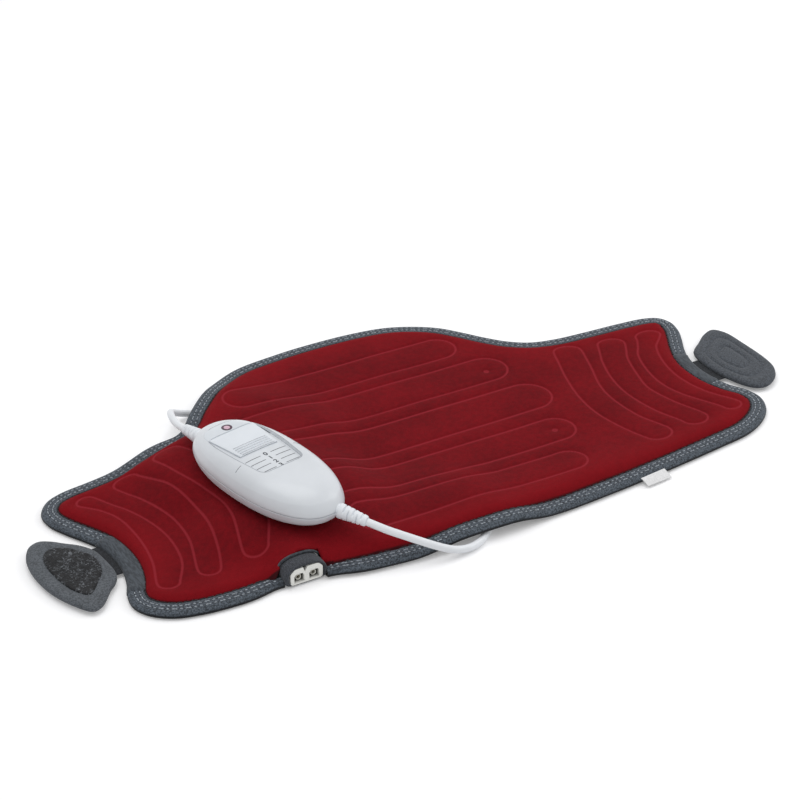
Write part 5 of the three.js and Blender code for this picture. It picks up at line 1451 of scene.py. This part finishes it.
# %% Draw the gaps
GAP_INSET, GAP_END, RIM_INSET, GROOVE_HALF = 0.42, 38, -0.4, 14
GROOVES, SLOT_X, SLOT_ENDS = (9.35, 11.6, 14.2, 16.8, 19.5), 20.0, (22, 36.5)
gap_points = [recess_point(*case_ring(k, OUTER_SCALE), GAP_INSET) for k in range(78, 228)]
gap_line = ribbon([q for q in gap_points if q[1] < GAP_END], 0.55, 0.05, lambda x, y: min(track(x), dome(x, y)))
rim_points = [recess_point(*case_ring(k, OUTER_SCALE), RIM_INSET) for k in range(CASE_RINGS + 1)]
groove_x = np.linspace(-GROOVE_HALF, GROOVE_HALF, 24)
grooves = [ribbon([(x, y) for x in groove_x], 0.55, 0.04, slider_top) for y in GROOVES]
# A ribbon of painted shadow in the slot beside the slider.
slot_line = ribbon([(SLOT_X, y) for y in np.linspace(*SLOT_ENDS, 12)], 0.8, 0.04, track)
joined("recess_gap", [gap_line], edge_shade_grey)
joined("recess_rim", [ribbon(rim_points, 0.42, 0.03, dome)], gap_shade_grey)
joined("slider_grooves", grooves, gap_shade_grey, "slider")
joined("slot_shadow", [slot_line], ink_and_shadow)
print("gaps drawn")

# %% [markdown]
# ## The lamp
# The window shows a pink lamp within a dark ring. The ring is a flat washer that follows the window's curve, and
# the lens is a low dome, both turned from a few points.

# %% Make the lamp
LAMP_Y, LENS_RADIUS, LENS_RISE = 45.0, 2.3, 0.35
RING_SECTION = [(LENS_RADIUS, 0.01), (3.9, 0.01), (3.9, 0.12), (LENS_RADIUS, 0.12)]


def lamp_ring(u, v):
    turn, (radius, z) = 2 * math.pi * u, pick(RING_SECTION, v)
    x, y = radius * math.cos(turn), LAMP_Y + radius * math.sin(turn)
    return on_case(x, y, window_top(x, y) + z)


def lamp_lens(u, v):
    turn, rise = 2 * math.pi * u, math.pi / 2 * v
    radius = LENS_RADIUS * math.cos(rise)
    x, y = radius * math.cos(turn), LAMP_Y + radius * math.sin(turn)
    return on_case(x, y, window_top(0, LAMP_Y) + SKIN_LIFT + LENS_RISE * math.sin(rise))


ring_plum = moulded("lamp_ring", (66, 34, 56), 0.35)
lens_pink = moulded("lamp_lens", (205, 168, 186), 0.25, coat=0.4)
finished("lamp_ring", bent_grid(48, len(RING_SECTION), lamp_ring), ring_plum)
finished("lamp_lens", bent_grid(40, 8, lamp_lens, closed=True), lens_pink)
print("lamp made")

# %% [markdown]
# ## Strain reliefs
# Each lead leaves the case through a tapered relief with slots cut from two sides, turn about, so that it bends
# evenly. It is turned round its own axis like a vase, and the slots are deep only on their open sides.

# %% Turn the reliefs
RELIEF_LENGTH, RELIEF_FALL = 24.5, 5
RELIEF_SLOTS, SLOT_DEPTH, SLOT_HALF = (8.6, 11.9, 15.1, 18.2, 21.2), 1.25, 0.5
COLLAR_END, COLLAR_RADIUS, COLLAR_STEP = 5.2, 4.6, 0.75
TAPER = [5.2, 8, 11.5, 15, 18, 21, 24.2], [5.35, 5.25, 4.95, 4.65, 4.35, 4.1, 3.8]
RELIEF_ENDS = {
    "relief_pad_lead": ((-147.15, 18.5), (-0.06, 1)),
    "relief_mains_lead": ((-110.1, -105.8), (0.617, -0.787)),
}


def relief_radius(t, turn):
    """The radius at a distance along the relief: a collar inside the case, then a taper with slots."""
    if t < COLLAR_END:
        return COLLAR_RADIUS + COLLAR_STEP * min(1, max(0, (t - 4.4) / 0.7)) ** 0.5
    body = float(np.interp(t, *TAPER))
    for k, at in enumerate(RELIEF_SLOTS):
        opening = min(1, max(0, abs(math.sin(turn + k * math.pi / 2)) * 2.2 - 0.75))
        body -= SLOT_DEPTH * opening * math.exp(-((t - at) / SLOT_HALF) ** 6)
    return body


def relief(name, start, heading):
    axis = Vector((*heading, -RELIEF_FALL / RELIEF_LENGTH)).normalized()
    side = axis.cross(Vector((0, 0, 1))).normalized()
    up = side.cross(axis)
    root = Vector((*start, CASE_BASE + SEAM))
    steps = [(-3, 0), (-3, COLLAR_RADIUS)] + [(t, None) for t in np.arange(0, 24.3, 0.22)]
    steps += [(24.4, 3.65), (24.8, 3.4), (25.0, 3.1), (25.1, 2.72), (23.8, 2.6), (23.8, 0)]

    def place(u, v):
        t, radius = steps[round(v * (len(steps) - 1))]
        turn = 2 * math.pi * u
        radius = relief_radius(t, turn) if radius is None else radius
        return tuple(root + axis * t + side * (radius * math.cos(turn)) + up * (radius * math.sin(turn)))
    finished(name + "_boot", bent_grid(48, len(steps) - 1, place), relief_white, node=name)


for name, (start, heading) in RELIEF_ENDS.items():
    relief(name, start, heading)
print("reliefs", len(RELIEF_ENDS))

# %% [markdown]
# ## Floor and light
# The photograph shows the pad on white, under broad soft light from above and a little from behind. A large
# plain floor catches the shadow. A faint glow lifts it to white, and the world is at full white, but both only
# for the rays that the camera, a gloss or a glass sends out. The Light Path node tells them apart, so the light
# on the pad can stay at a level where colours render as they are written.

# %% Floor, world and lamps
FLOOR_GLOW, FLOOR_SIZE, FLOOR_DROP, WORLD_LIGHT = 0.2, 6, 0.0004, 0.65
LAMPS_AIM = (-0.02, -0.02, 0.0)


def seen_directly(f):
    """1 for what the camera sees straight, in a gloss or through glass, and 0 for light that goes on."""
    camera_ray, glossy_ray, glass_ray = (f.node("ShaderNodeLightPath", out=k) for k in (0, 3, 6))
    return camera_ray.most(glossy_ray).most(glass_ray)


def stage_finish():
    f = finish("floor", Roughness=0.9, Specular_IOR_Level=0.1)
    f.set(Base_Color=f.mix(f.noise(1.5), rgb(238, 238, 240), rgb(243, 243, 244)))
    glow = f.node("ShaderNodeEmission", None, {"Strength": seen_directly(f) * FLOOR_GLOW})
    both = f.node("ShaderNodeAddShader", None, [Term(f, f.shader.outputs[0]), glow])
    f.links.new(both.socket, f.nodes["Material Output"].inputs["Surface"])
    return f.owner


floor_mesh = bmesh.new()
bmesh.ops.create_grid(floor_mesh, x_segments=1, y_segments=1, size=FLOOR_SIZE)
floor_data = bpy.data.meshes.new("floor")
floor_mesh.to_mesh(floor_data)
floor_mesh.free()
floor_data.materials.append(stage_finish())
floor = bpy.data.objects.new("floor", floor_data)
floor.location.z = -FLOOR_DROP
scene.collection.objects.link(floor)

sky = Shading(bpy.data.worlds.new("studio"), "Background", Color=(1, 1, 1, 1))
scene.world = sky.set(Strength=seen_directly(sky) * (1 - WORLD_LIGHT) + WORLD_LIGHT)


def soft_lamp(name, place, size, power):
    data = bpy.data.lights.new(name, "AREA")
    data.shape, data.size, data.size_y, data.energy = "RECTANGLE", size[0], size[1], power
    lamp = bpy.data.objects.new(name, data)
    lamp.location = place
    lamp.rotation_mode = "QUATERNION"
    lamp.rotation_quaternion = (Vector(LAMPS_AIM) - Vector(place)).to_track_quat("-Z", "Y")
    scene.collection.objects.link(lamp)


soft_lamp("top_light", (-0.15, 0.35, 1.6), (1.6, 1.1), 9)
soft_lamp("side_light", (1.3, -0.3, 1.0), (0.9, 0.9), 5)
print("lamps placed")
